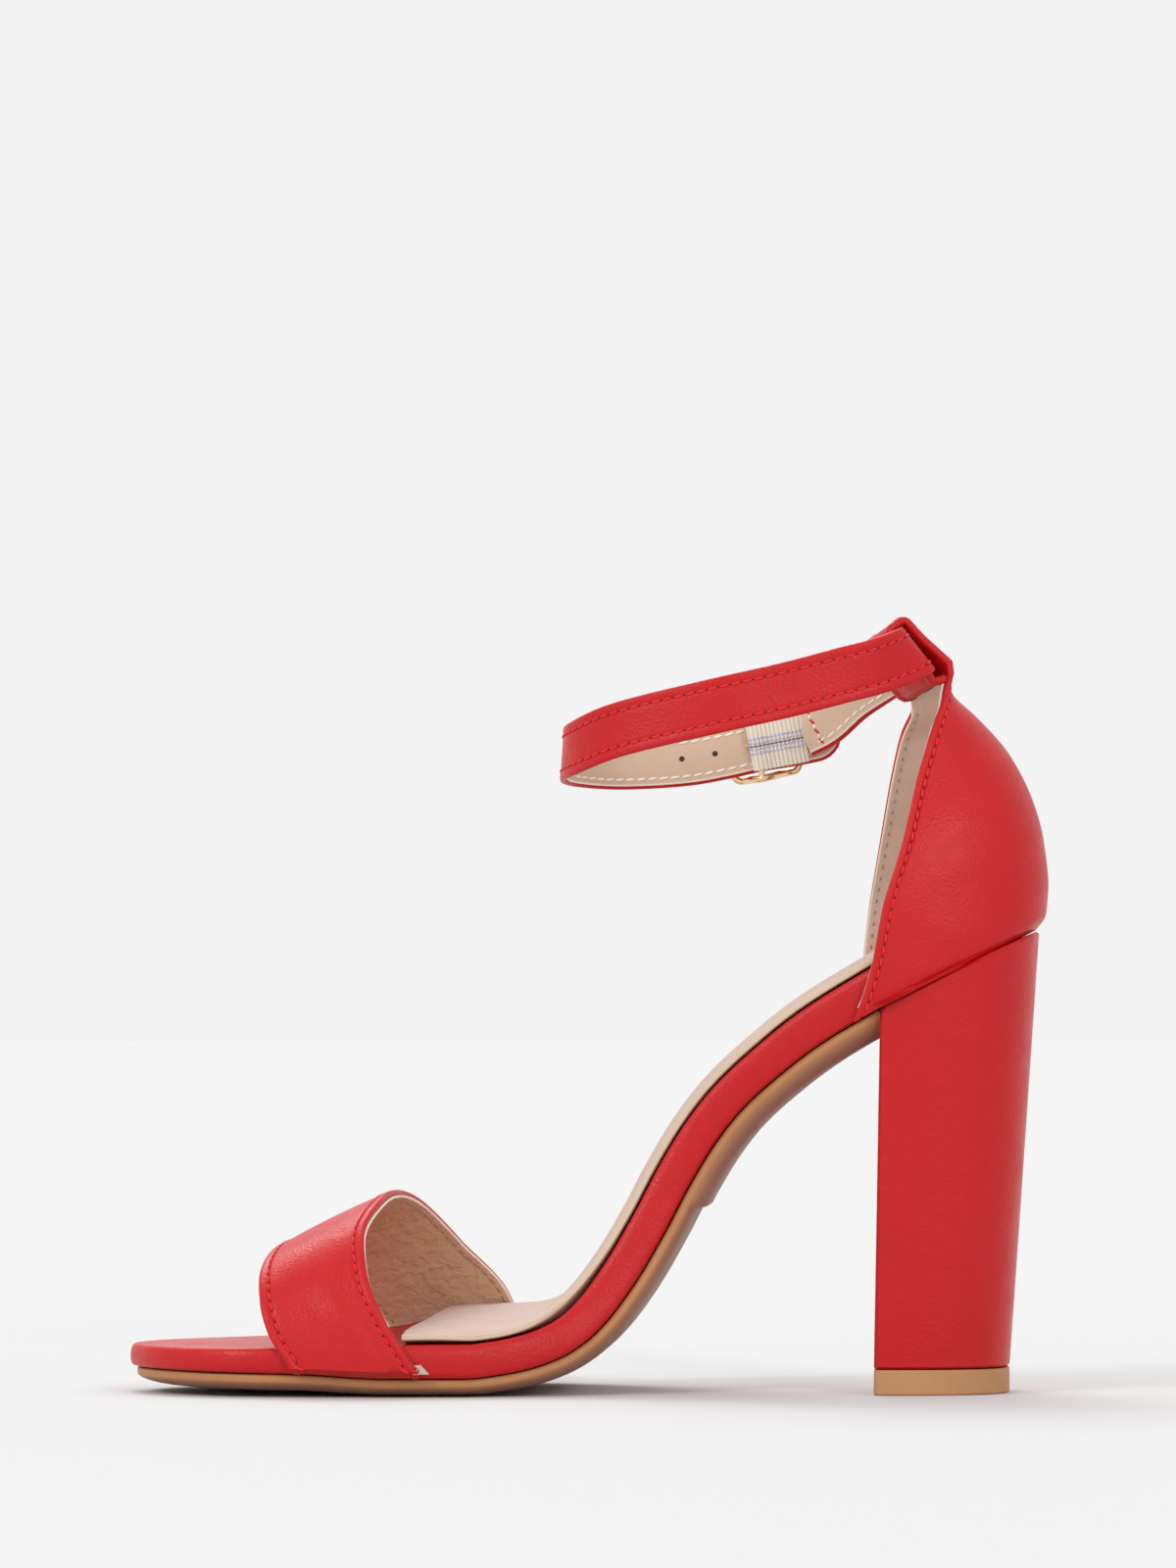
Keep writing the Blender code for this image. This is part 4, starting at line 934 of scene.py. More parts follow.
# Distances from an upper piece's long edge at which its face has a column of
# points, and the same for its lining
EDGE_COLUMNS = [LEATHER / 2, 0.0009, 0.0012, 0.0015, 0.0018, 0.0020, STITCH_INSET, 0.0026, 0.0029, 0.0034, 0.0042]
LINING_COLUMNS = (0.0002, 0.0006, 0.0011, 0.0015, 0.0019, 0.0027)


def dent_depth(places, dent):
    """How far one soft dent moves each place of a wall, seen from its side."""
    along, up = turned(places[..., 0] - dent.x, places[..., 2] - dent.z, dent.turn)
    side = np.exp(-((places[..., 1] - dent.y) / DENT_SIDE) ** 2)
    return dent.depth * side * np.exp(-(along / dent.along) ** 2 - (up / dent.up) ** 2)


def cant(s, across):
    """The seat of the forefoot stands a little higher at its outer side."""
    x = float(np.interp(s, last.s, last.x))
    share = min(1.0, max(0.0, (across + 1) / 2))
    return OUTER_RISE * math.exp(-((x - OUTER_RISE_AT) / OUTER_RISE_SPREAD) ** 2) * share ** 1.3


def crease_height(s, across):
    """The toe end's soft creases, over the footbed."""
    x, y = float(np.interp(s, last.s, last.x)), across * last.column(s, "half")
    total = 0.0
    for dent in TOE_CREASES:
        along, up = turned(x - dent.x, y - dent.y, dent.turn)
        total += dent.depth * math.exp(-(along / dent.along) ** 2 - (up / dent.up) ** 2)
    return total


def seam_depth(edge, inset, groove, bead):
    """How a stitched leather's face stands: a bead at the edge and a groove at the seam."""
    dip = groove * np.exp(-((edge - inset) / 0.00042) ** 2)
    rise = bead * np.exp(-((edge - 0.45 * inset) / (0.42 * inset)) ** 2)
    return rise - dip


def stitch_places(line, up, pitch, start=0.5, slant=0.0):
    """Places of stitches along a line, with their directions."""
    run = lengths_along(line)
    at = np.arange(start * pitch, run[-1] - 0.3 * pitch, pitch)
    near = 0.0004
    places = resampled(at, run, line)
    ahead = resampled(at + near, run, line) - resampled(at - near, run, line)
    ups = unit(resampled(at, run, up))
    ahead = unit(ahead - ups * np.sum(ahead * ups, axis=1, keepdims=True))
    side = np.cross(ups, ahead)
    ahead = ahead * math.cos(slant) + side * math.sin(slant)
    return places, ahead, ups


def bead_tree():
    """Nodes that lay one small bead of thread at each point of a mesh."""
    tree = bpy.data.node_groups.new("thread_row", "GeometryNodeTree")
    face = tree.interface
    face.new_socket("Places", in_out="INPUT", socket_type="NodeSocketGeometry")
    for label, value in (("Length", 0.002), ("Width", 0.0003), ("Height", 0.0003)):
        socket = face.new_socket(label, in_out="INPUT", socket_type="NodeSocketFloat")
        socket.default_value = value
    face.new_socket("Finish", in_out="INPUT", socket_type="NodeSocketMaterial")
    face.new_socket("Row", in_out="OUTPUT", socket_type="NodeSocketGeometry")
    nodes, link = tree.nodes, tree.links.new
    given, out = nodes.new("NodeGroupInput"), nodes.new("NodeGroupOutput")
    bead = nodes.new("GeometryNodeMeshUVSphere")
    set_inputs(bead, {"Segments": 8, "Rings": 6, "Radius": 0.5})
    turn = nodes.new("GeometryNodeTransform")
    turn.inputs["Rotation"].default_value = (0, math.pi / 2, 0)
    size = nodes.new("ShaderNodeCombineXYZ")
    scale = nodes.new("GeometryNodeTransform")
    lay = nodes.new("GeometryNodeInstanceOnPoints")
    ahead, up = nodes.new("GeometryNodeInputNamedAttribute"), nodes.new("GeometryNodeInputNamedAttribute")
    along, upright = nodes.new("FunctionNodeAlignRotationToVector"), nodes.new("FunctionNodeAlignRotationToVector")
    for node, label in ((ahead, "ahead"), (up, "up")):
        node.data_type = "FLOAT_VECTOR"
        node.inputs["Name"].default_value = label
    along.axis = "X"
    upright.axis = "Z"
    upright.pivot_axis = "X"
    real, paint = nodes.new("GeometryNodeRealizeInstances"), nodes.new("GeometryNodeSetMaterial")
    smooth = nodes.new("GeometryNodeSetShadeSmooth")
    for label, socket in (("Length", "X"), ("Width", "Y"), ("Height", "Z")):
        link(given.outputs[label], size.inputs[socket])
    link(bead.outputs["Mesh"], turn.inputs["Geometry"])
    link(turn.outputs["Geometry"], scale.inputs["Geometry"])
    link(size.outputs["Vector"], scale.inputs["Scale"])
    link(ahead.outputs["Attribute"], along.inputs["Vector"])
    link(up.outputs["Attribute"], upright.inputs["Vector"])
    link(along.outputs["Rotation"], upright.inputs["Rotation"])
    link(given.outputs["Places"], lay.inputs["Points"])
    link(scale.outputs["Geometry"], lay.inputs["Instance"])
    link(upright.outputs["Rotation"], lay.inputs["Rotation"])
    link(lay.outputs["Instances"], real.inputs["Geometry"])
    link(real.outputs["Geometry"], smooth.inputs["Geometry"])
    link(smooth.outputs["Geometry"], paint.inputs["Geometry"])
    link(given.outputs["Finish"], paint.inputs["Material"])
    link(paint.outputs["Geometry"], out.inputs["Row"])
    return tree


BEADS = bead_tree()


def thread_rows(name, rows, material, slot, length=STITCH_LENGTH, width=2 * THREAD, height=2 * THREAD):
    """One piece with a bead of thread at each place of all the rows."""
    places, ahead, ups = (np.concatenate([row[c] for row in rows]) for c in range(3))
    mesh = bpy.data.meshes.new(name)
    mesh.from_pydata([tuple(p) for p in places], [], [])
    for label, values in (("ahead", ahead), ("up", ups)):
        attribute = mesh.attributes.new(label, "FLOAT_VECTOR", "POINT")
        attribute.data.foreach_set("vector", np.asarray(values, float).ravel())
    obj = bpy.data.objects.new(name, mesh)
    bpy.context.scene.collection.objects.link(obj)
    modifier = obj.modifiers.new("Thread", "NODES")
    modifier.node_group = BEADS
    values = {"Length": length, "Width": width, "Height": height, "Finish": material}
    for socket in BEADS.interface.items_tree:
        if socket.in_out == "INPUT" and socket.name in values:
            modifier[socket.identifier] = values[socket.name]
    graph = bpy.context.evaluated_depsgraph_get()
    made = bpy.data.meshes.new_from_object(obj.evaluated_get(graph))
    obj.modifiers.clear()
    obj.data = made
    return stand_for(obj, slot)


def layer_place(s, side, inset, share, spine, shift):
    """A place inset from the outline and drawn in to the spine, and its share across."""
    middle = min(max(s, spine[0]), spine[1])
    centre = Vector((middle, last.column(middle, "swing")))
    reach = Vector((s, last.edge(s, side))) - centre
    place = centre + reach * (max(0.0, 1 - inset / max(reach.length, 1e-9)) * (1 - share))
    across = (place.y - centre.y) / max(last.column(middle, "half"), 1e-9)
    if shift:
        place.x += shift(place.x, across)
    return place.x, place.y, across


def fine_layer(name, stations, rings, material, square_end=False, shift=None, under=None):
    """A layer of the sole from rings inset from the outline towards its spine."""
    spine = (TOE_ROUND, last.length) if square_end else (max(TOE_ROUND, stations[0]), last.length - SEAT_ROUND)

    def spot(s, side, inset, share, height):
        x, y, across = layer_place(s, side, inset, share, spine, shift)
        return last.bend(x, y, height(x, across))

    verts = []
    if square_end:
        for s in stations:
            top, *lower = rings
            verts += [spot(s, 1, *ring) for ring in lower]
            verts += [spot(s, -1, *ring) for ring in reversed(lower[:-1])]
            verts.append(spot(s, 1, *top))
        width = len(verts) // len(stations)
        faces = bands(len(stations), width)
        faces.append([(len(stations) - 1) * width + i for i in range(width)])
        row = under[1:] + under[-2:0:-1] + under[:1]
        return plain_mesh(name, verts, faces, material, marks={"under": row * len(stations)})
    for ring in rings:
        verts += [spot(s, 1, *ring) for s in stations]
        verts += [spot(s, -1, *ring) for s in reversed(stations)]
    count = 2 * len(stations)
    marks = {"rim": [value for value in under for i in range(count)]} if under else None
    return plain_mesh(name, verts, bands(len(rings), count), material, marks=marks)


def outline_line(stations, inset, height, side, shift=None):
    """A line round the sole at an inset, with the bed's upward direction."""
    spine = (max(TOE_ROUND, stations[0]), last.length - SEAT_ROUND)
    points, ups = [], []
    for s in stations:
        x, y, across = layer_place(s, side, inset, 0.0, spine, shift)
        here = last.bend(x, y, height(x, across))
        over = last.bend(x, y, height(x, across) + 0.001)
        points.append(tuple(here))
        ups.append(tuple((over - here).normalized()))
    return np.array(points), np.array(ups)


def make_footbed_cover():
    """The footbed's red cover, drawn round its edges."""
    profile = [(1.0, 0.0), (0.55, 0.015), (0.25, 0.08), (0.08, 0.2), (0.0, 0.38), (0.0, 0.55),
               (0.06, 0.7), (0.2, 0.84), (0.42, 0.94), (0.75, 0.99), (1.1, 1.0)]
    rings = [(0.0, 1.0, lambda s, side: 0.0)]
    for out, up in profile:
        rings.append((out * FOOTBED_ROLL, 0.0, lambda s, across, up=up: up * (bed(s) + cant(s, across))))
    for share in (0.08, 0.14, 0.20, 0.27, 0.34, 0.41, 0.48, 0.56, 0.64, 0.72, 0.80, 0.90, 1.0):
        rings.append((0.0, share, lambda s, across: bed(s) + cant(s, across) + crease_height(s, across)))
    cover = fine_layer("footbed_cover", last.stations(step=0.0015, fan=30), rings, RED_COVER)
    return stand_for(cover, "red_leather", "footbed")


def make_tread():
    """The moulded outsole, with its step where the waist begins."""
    step = last.at_share(WAIST_STEP)
    end = last.at_x(BREAST_TOP) - 2 * GAP
    rows = [s for s in last.stations(step=0.003, fan=22) if s < end - 0.001]
    rows += [end] + [step + STEP_LENGTH * i / 4 for i in range(5)]
    edge = GAP + OUTSOLE_EDGE

    def lower(share):
        return lambda s, side: -edge - share * crown(s)

    def level(drop):
        return lambda s, side: -drop

    # The upper face touches the footbed inside and leaves a joint line at its rim
    bevel = 0.0003
    rings = [(OUTSOLE_INSET, 1.0, level(TOUCH))]
    for inset, drop in ((0.0030, TOUCH), (0.0020, GAP), (bevel, GAP), (0.0, GAP + bevel), (0.0, edge - bevel),
                        (0.0002, edge)):
        rings.append((OUTSOLE_INSET + inset, 0.0, level(drop)))
    under = [0.0] * 6 + [0.25]
    for share, drop in ((0.03, 0.26), (0.07, 0.50), (0.12, 0.71), (0.18, 0.86), (0.26, 0.95), (0.36, 1.0),
                        (0.6, 1.0), (1.0, 1.0)):
        rings.append((OUTSOLE_INSET, share, lower(drop)))
        under.append(1.0 if share > 0.05 else 0.7)
    tread = fine_layer("outsole_tread", sorted(rows), rings, TAN_EDGE, square_end=True, under=under)
    return stand_for(tread, "tan_sole", "outsole")


def sock_lift(s, across):
    """How far the loose sock stands off the footbed: at the bend, and along its outer side."""
    x = float(np.interp(s, last.s, last.x))
    near = sum(high * math.exp(-((x - place) / along) ** 2) for place, along, high in SOCK_WAVES)
    far = SOCK_STAND * math.exp(-((x - SOCK_STAND_AT) / SOCK_STAND_SPREAD) ** 2)
    share = min(1.0, max(0.0, (across + 1) / 2))
    return SOCK_REST + near * max(0.0, 1 - 3 * share) + far * share ** 1.5


def sock_slant(start):
    """The sock's front edge runs back towards the outer side."""
    def shift(s, across):
        return SOCK_SLANT * (across + 1) / 2 * max(0.0, 1 - (s - start) / SOCK_SLANT_REACH) ** 2
    return shift


def make_sock():
    """The padded sock, its seam sunk round its rim."""
    start = last.at_x(STRAP_FRONT + INSOLE_FRONT * STRAP_LENGTH)
    stations = [start] + [s for s in last.stations(start, step=0.003, fan=22) if s > start + INSOLE_EDGE]
    shift = sock_slant(start)

    def over(rise, lift=1.0):
        return lambda s, across: bed(s) + cant(s, across) + GAP + rise + lift * sock_lift(s, across)

    def on_bed(s, across):
        return bed(s) + cant(s, across) + 0.00003

    edge, top = INSOLE_EDGE, INSOLE_CROWN
    rings = [(INSOLE_INSET, 1.0, on_bed), (INSOLE_INSET + 0.0055, 0.0, on_bed)]
    for inset, rise, lift in ((0.0035, 0.0, 0.5), (0.0004, 0.0, 1.0), (0.0, 0.2, 1.0), (0.0, 0.75, 1.0),
                              (0.0003, 1.0, 1.0)):
        rings.append((INSOLE_INSET + inset, 0.0, over(rise * edge, lift)))
    for inset, rise in ((0.0009, 0.10), (0.0015, 0.05), (0.0019, -0.20), (SOCK_SEAM, -0.26), (0.0023, -0.20),
                        (0.0028, 0.12), (0.0036, 0.34), (0.0050, 0.55)):
        rings.append((INSOLE_INSET + inset, 0.0, over(edge + rise * top)))
    for share, rise in ((0.25, 0.72), (0.36, 0.88), (0.5, 0.97), (0.62, 0.99), (0.75, 1.0), (0.88, 1.0), (1.0, 1.0)):
        rings.append((INSOLE_INSET, share, over(edge + rise * top)))
    cut = [0.0, 0.0, 0.3, 0.8, 1.0, 1.0, 0.6] + [0.0] * 15
    sock = fine_layer("padded_sock", stations, rings, SOCK, shift=shift, under=cut)
    stand_for(sock, "pale_sock", "insole")
    rows = []
    for side in (1, -1):
        line, up = outline_line(stations, INSOLE_INSET + SOCK_SEAM, over(edge - 0.20 * top), side, shift)
        rows.append(stitch_places(line, up, SOCK_PITCH, slant=0.12))
    line = []
    s = start + INSOLE_INSET + 0.0032
    for across in 0.9 - 1.8 * np.arange(41) / 40:
        place = s + shift(s, across)
        y = last.column(s, "swing") + across * last.edge(s, 1)
        line.append(tuple(last.bend(place, y, over(edge - 0.1 * top)(place, across))))
    line = np.array(line)
    rows.append(stitch_places(line, np.tile((0.0, 0.0, 1.0), (len(line), 1)), SOCK_PITCH))
    thread_rows("sock_stitches", rows, PALE_THREAD, "pale_sock", length=0.0025, width=0.0007, height=0.0006)
    return sock


def heel_piece(name, rings, material, node, slot):
    """A piece of the heel from its rings, bottom to top."""
    verts = [v for ring in rings for v in ring]
    faces = bands(len(rings), len(rings[0]))
    return stand_for(plain_mesh(name, verts, faces, material, smooth=35), slot, node)


def fine_heel_ring(front, length, width, height, share=0.0, inset=0.0):
    """One closed ring of the heel, inset, or drawn in towards its middle line."""
    points = heel_outline(length, width, HEEL_EDGE, steps=40)
    half = width / 2
    ring = []
    for side, row in ((1, points), (-1, points[-2::-1])):
        for behind, across in row:
            spine = min(max(behind, half * 0.4), length - half)
            off = Vector((behind - spine, across))
            keep = (1 - share) * max(0.0, 1 - inset / max(off.length, 1e-9))
            x = front + spine + off.x * keep
            ring.append(Vector((x, side * off.y * keep, height(x))))
    return ring


def make_heel_block():
    """The covered heel block, its top slanted with the seat."""
    floor = LIFT_HEIGHT + GAP
    front = -LIFT_LENGTH / 2

    def seat(x):
        return last.height(x) - 1.2 * GAP

    def at(t):
        """The heel's section a share of the way up."""
        return (front + (BREAST_TOP - front) * t, LIFT_LENGTH + (HEEL_TOP_LENGTH - LIFT_LENGTH) * t,
                LIFT_WIDTH + (HEEL_TOP_WIDTH - LIFT_WIDTH) * t, lambda x: floor + (seat(x) - floor) * t)

    rings = [fine_heel_ring(*at(0.0), share=1.0), fine_heel_ring(*at(0.0), inset=0.0005)]
    rings += [fine_heel_ring(*at(t)) for t in (0.005, 0.1, 0.25, 0.4, 0.55, 0.7, 0.85, 0.992)]
    front, length, width, top = at(1.0)
    rings.append(fine_heel_ring(front, length, width, top, inset=0.0006))
    rings += [fine_heel_ring(front, length, width, lambda x: last.height(x) - TOUCH, share, inset)
              for share, inset in ((0.0, 0.0040), (0.5, 0.0), (1.0, 0.0))]
    return heel_piece("heel_block", rings, RED_COVER, "heel", "red_leather")


def make_heel_lift():
    """The wear piece under the heel: rings by height, share drawn in and inset."""
    profile = [(0.0, 1.0, 0.0), (0.0, 0.0, 0.0004), (0.0004, 0.0, 0.0), (LIFT_HEIGHT * 0.5, 0.0, 0.0),
               (LIFT_HEIGHT - 0.0003, 0.0, 0.0), (LIFT_HEIGHT, 0.0, 0.0003), (LIFT_HEIGHT, 1.0, 0.0)]
    rings = [fine_heel_ring(-LIFT_LENGTH / 2, LIFT_LENGTH, LIFT_WIDTH, lambda x, level=level: level, share, inset)
             for level, share, inset in profile]
    return heel_piece("heel_lift", rings, TAN_LIFT, "top_lift", "tan_sole")


def dressed(name, rows, outward, node, lining, wall, middle, groove=0.00020, bead=0.00020,
            proud=0.0, lined_rows=slice(None), deep=None, dents=()):
    """An upper piece as a maker builds it: red leather outside, a lining set back inside."""
    grid, edge = marked_rows(rows, EDGE_COLUMNS, middle)
    normals = grid_normals(grid, outward(grid))
    top = seam_depth(edge, STITCH_INSET, groove, bead) - 0.00005
    for dent in dents:
        top += dent_depth(grid, dent)
    depth = np.full(edge.shape, -LEATHER)
    if deep is not None:
        depth[deep] = -wall
    leather = slab(name + "_leather", grid, normals, top, depth, RED, 6)
    stand_for(leather, "red_leather", node)
    inner = [LINING_SET_BACK - proud + d for d in LINING_COLUMNS]
    inner_grid, inner_edge = marked_rows(np.asarray(rows)[lined_rows], inner, middle)
    inner_normals = grid_normals(inner_grid, outward(inner_grid))
    dip = 0.6 * groove * np.exp(-((inner_edge - STITCH_INSET) / 0.0004) ** 2)
    back = np.full(inner_edge.shape, -LEATHER - 2 * TOUCH)
    lined = slab(name + "_lining", inner_grid, inner_normals, back, dip - wall, lining)
    stand_for(lined, "pale_sock")
    return grid, normals, EDGE_COLUMNS.index(STITCH_INSET), inner_grid, inner_normals


def seams(name, grid, normals, column, rows):
    """Two rows of red thread, painted lighter as a highlight, along a piece's long edges, with dark beads of painted
    shade at their needle holes.
    """
    threads, holes = [], []
    for index in (column, grid.shape[1] - 1 - column):
        line = grid[rows, index] - normals[rows, index] * THREAD_SINK
        threads.append(stitch_places(line, normals[rows, index], STITCH_PITCH, slant=0.10))
        holes.append(stitch_places(line, normals[rows, index], STITCH_PITCH, start=1.0))
    thread_rows(name + "_stitches", threads, RED_THREAD_WITH_PAINTED_HIGHLIGHT, "red_leather")
    thread_rows(name + "_needle_hole_shades", holes, NEEDLE_HOLE_SHADE, "red_leather", *NEEDLE_HOLE_SHADE_SIZE)


def inside_seams(name, inner, normals, rows, depth, material, slant=0.0, size=()):
    """Two rows of stitches that come through a lining near its long edges."""
    lines = []
    for index in (LINING_SEAM, inner.shape[1] - 1 - LINING_SEAM):
        line = inner[rows, index] - normals[rows, index] * depth
        lines.append(stitch_places(line, -normals[rows, index], STITCH_PITCH, slant=slant))
    thread_rows(name + "_inside_stitches", lines, material, "pale_sock", *size)


def make_toe_strap():
    """The toe strap with its lining, its seams, and a wisp of lining at its inner end."""
    rows = spaced_rows(toe_strap_rows(steps=180, across=60), 0.0011)

    def outward(grid):
        middle = grid.mean(axis=(0, 1))
        middle[2] = 0.012
        return grid - middle

    grid, normals, column, inner, inner_normals = dressed(
        "toe_strap", rows, outward, "toe_strap", TOE_LINING, STRAP_WALL, middle=40, proud=LINING_PROUD,
        dents=TOE_STRAP_DENTS)
    seen = slice(5, len(grid) - 5)
    seams("toe_strap", grid, normals, column, seen)
    inside_seams("toe_strap", inner, inner_normals, seen, STRAP_WALL - THREAD_SINK, TAN_THREAD, 0.1)
    end = min(grid[0], grid[-1], key=lambda row: row[0][1])
    corner = max(end, key=lambda place: place[0])
    near = [corner + np.array(off) for off in WISP]
    wisp = near + [place + np.array((0.0, WISP_THICKNESS, 0.0)) for place in near]
    piece = plain_mesh("lining_wisp", wisp, [(0, 1, 2), (5, 4, 3), (0, 3, 4, 1), (1, 4, 5, 2), (2, 5, 3, 0)], SOCK)
    stand_for(piece, "pale_sock")


def counter_run(turns=140, levels=110):
    """The counter's face from its seat over the tab and down in front of the strap."""
    angles = [180 * i / turns for i in range(turns + 1)]
    rows = [[tuple(counter_point(level, a)) for a in angles] for level in blended_levels(levels)]
    centre, across, upward, outward = tunnel_frame()
    for out, up in tunnel_path(12):
        rows.append([tuple(centre + outward * out + upward * up - across * math.cos(math.radians(a)) * TAB)
                     for a in angles])
    rows = np.array(rows)
    near = np.clip(-rows[..., 1] / 0.006 - 0.2, 0, 1)
    rows[..., 0] += RIM_OPENING * near * np.exp(-((rows[..., 2] - RIM_HEIGHT) / RIM_SPREAD) ** 2)
    return rows, len(blended_levels(levels))


def make_counter():
    """The counter with its tab, its lining and its seams."""
    rows, body_rows = counter_run()

    def outward(grid):
        away = np.zeros(grid.shape)
        away[:body_rows, :, 0] = grid[:body_rows, :, 0] + 0.004
        away[:body_rows, :, 1] = grid[:body_rows, :, 1]
        return away

    grid, normals, column, inner, inner_normals = dressed(
        "counter", rows, outward, "counter", HEEL_LINING, COUNTER_WALL, middle=56, proud=LINING_PROUD,
        lined_rows=slice(8, body_rows - 5), deep=slice(body_rows, None), dents=COUNTER_DENTS)
    seams("counter", grid, normals, column, slice(3, body_rows - 6))
    inside_seams("counter", inner, inner_normals, slice(4, -6), COUNTER_WALL - THREAD_SINK, TAN_THREAD,
                 size=(0.0010, 0.00045))


def strap_run(step=0.0011):
    """Points and width directions along the whole ankle strap."""
    places = ankle_places()
    per_span = 24
    points = smooth_run([spot for spot, lean, given in places], per_span)
    given = width_directions(places)
    widths = []
    for k in range(len(points)):
        span, part = divmod(k, per_span)
        after = given[min(span + 1, len(given) - 1)]
        widths.append(given[span].lerp(after, part / per_span))
    widths = evened(widths, 18)
    points = np.array([tuple(p) for p in points])
    widths = np.array([tuple(w) for w in widths])
    run = lengths_along(points)
    at = np.linspace(0, run[-1], round(run[-1] / step) + 1)
    return resampled(at, run, points), resampled(at, run, widths), at


def make_ankle_strap():
    """The ankle strap with its lining, its seams, dark discs of painted shade at its punched holes, and the
    elastic's seam.
    """
    points, widths, at = strap_run()
    ahead = unit(np.gradient(points, axis=0))
    widths = unit(widths - ahead * np.sum(widths * ahead, axis=1, keepdims=True))
    from_tip = at[-1] - at + 0.04 * TAIL_ROUND
    narrow = np.sqrt(1 - np.maximum(0, 1 - from_tip / TAIL_ROUND) ** 2)
    face = np.cross(ahead, widths)
    shares = np.linspace(-0.5, 0.5, 41)
    rows = points[:, None, :] + widths[:, None, :] * (shares[None, :, None] * ANKLE_WIDTH * narrow[:, None, None])
    middle = np.array([points[:, 0].mean(), 0.0, 0.0])
    away = points - middle
    away[:, 2] = 0
    if np.sum(face * away) < 0:
        face = -face
    rows += face[:, None, :] * ANKLE_WALL / 2

    def outward(grid):
        return np.repeat(face[:, None, :], grid.shape[1], axis=1)

    grid, normals, column, inner, inner_normals = dressed(
        "ankle_strap", rows, outward, "ankle_strap", STRAP_LINING, ANKLE_WALL, middle=14, groove=0.00012,
        bead=0.00008)
    seams("ankle_strap", grid, normals, column, slice(2, len(grid) - 4))
    inside_seams("ankle_strap", inner, inner_normals, slice(2, -4), ANKLE_WALL - 0.00006, PALE_THREAD, 0.1)
    centre_line = inner[:, inner.shape[1] // 2]
    centre_up = inner_normals[:, inner.shape[1] // 2]
    spots = []
    for x in PUNCHED_AT:
        outer = [k for k in range(len(centre_line) // 2 + 1, len(centre_line)) if centre_line[k][1] > 0]
        k = min(outer, key=lambda k: abs(centre_line[k][0] - x))
        step = centre_line[k + 1] - centre_line[k - 1]
        for depth in (0.0, -ANKLE_WALL):
            spots.append((centre_line[k] + centre_up[k] * depth, step / np.linalg.norm(step), centre_up[k]))
    # Dark discs of painted shade on both faces at each punched hole
    holes = tuple(np.array([spot[c] for spot in spots]) for c in range(3))
    thread_rows("ankle_strap_punched_hole_shades", [holes], PUNCHED_HOLE_SHADE, "pale_sock", *PUNCHED_SIZE)
    end, up = inner[3], inner_normals[3]
    line = end - up * (ANKLE_WALL - 2 * TOUCH)
    cross, slant = 0.0024, 0.35
    red = stitch_places(line, -up, cross, slant=slant)
    pale = stitch_places(line, -up, cross, start=1.0, slant=-slant)
    # The red thread's lighter colour is a painted highlight
    thread_rows("gore_seam_red", [red], RED_THREAD_WITH_PAINTED_HIGHLIGHT, "red_leather", 0.0017)
    thread_rows("gore_seam_pale", [pale], PALE_THREAD, "pale_sock", 0.0012)


def tube(name, points, radius, closed, material):
    """A round wire through the points."""
    curve = bpy.data.curves.new(name, "CURVE")
    curve.dimensions = "3D"
    curve.bevel_depth = radius
    curve.bevel_resolution = 3
    curve.use_fill_caps = True
    spline = curve.splines.new("POLY")
    spline.points.add(len(points) - 1)
    for point, place in zip(spline.points, points):
        point.co = (*place, 1)
    spline.use_cyclic_u = closed
    holder = bpy.data.objects.new(name, curve)
    bpy.context.scene.collection.objects.link(holder)
    graph = bpy.context.evaluated_depsgraph_get()
    mesh = bpy.data.meshes.new_from_object(holder.evaluated_get(graph))
    bpy.data.objects.remove(holder)
    verts = [tuple(v.co) for v in mesh.vertices]
    faces = [tuple(p.vertices) for p in mesh.polygons]
    return plain_mesh(name, verts, faces, material)


def make_buckle():
    """The buckle's frame, its bar, and the prong curled round the bar."""
    bar, ahead, outward, across = buckle_frame()
    front, rear, half, bow = buckle_sizes()

    def spot(a, w):
        share = abs(a) / (front if a < 0 else rear)
        out = bow * (1 - math.cos(math.pi * min(1.0, share / 0.8))) / 2
        return tuple(bar + ahead * a + outward * out + across * w)

    points = []
    for a_side, w_side in ((1, 1), (-1, 1), (-1, -1), (1, -1)):
        a_end = rear if a_side > 0 else -front
        ring = []
        for i in range(9):
            turn = math.pi / 2 * i / 8
            ring.append((a_end - a_side * BUCKLE_CORNER * (1 - math.cos(turn)),
                         w_side * (half - BUCKLE_CORNER * (1 - math.sin(turn)))))
        if a_side * w_side < 0:
            ring.reverse()
        points += [spot(a, w) for a, w in ring]
        if a_side == w_side:
            ends = (rear - BUCKLE_CORNER, BUCKLE_CORNER - front)
            rail = [ends[0] + (ends[1] - ends[0]) * i / 24 for i in range(1, 24)]
            points += [spot(a, w_side * half) for a in (rail if w_side > 0 else rail[::-1])]
    stand_for(tube("buckle_frame", points, 0.58 * WIRE, True, GOLD), "gold_metal", "buckle")
    rod = tube("buckle_bar", [tuple(bar - across * half), tuple(bar + across * half)], WIRE / 2, False, GOLD)
    stand_for(rod, "gold_metal")
    thick = 0.45 * WIRE
    curl = WIRE / 2 + GAP + thick
    pin = []
    for i in range(19):
        turn = math.radians(25 + 125 * i / 18)
        pin.append(bar + ahead * curl * math.cos(turn) + outward * curl * math.sin(turn))
    tip_out = bow + WIRE / 2 + GAP + thick
    pin += [bar - ahead * (0.55 * front) + outward * (0.75 * tip_out), bar - ahead * front + outward * tip_out,
            bar - ahead * (front + 0.5 * WIRE) + outward * tip_out]
    stand_for(tube("buckle_prong", [tuple(p) for p in pin], thick, False, GOLD), "gold_metal", "prong")


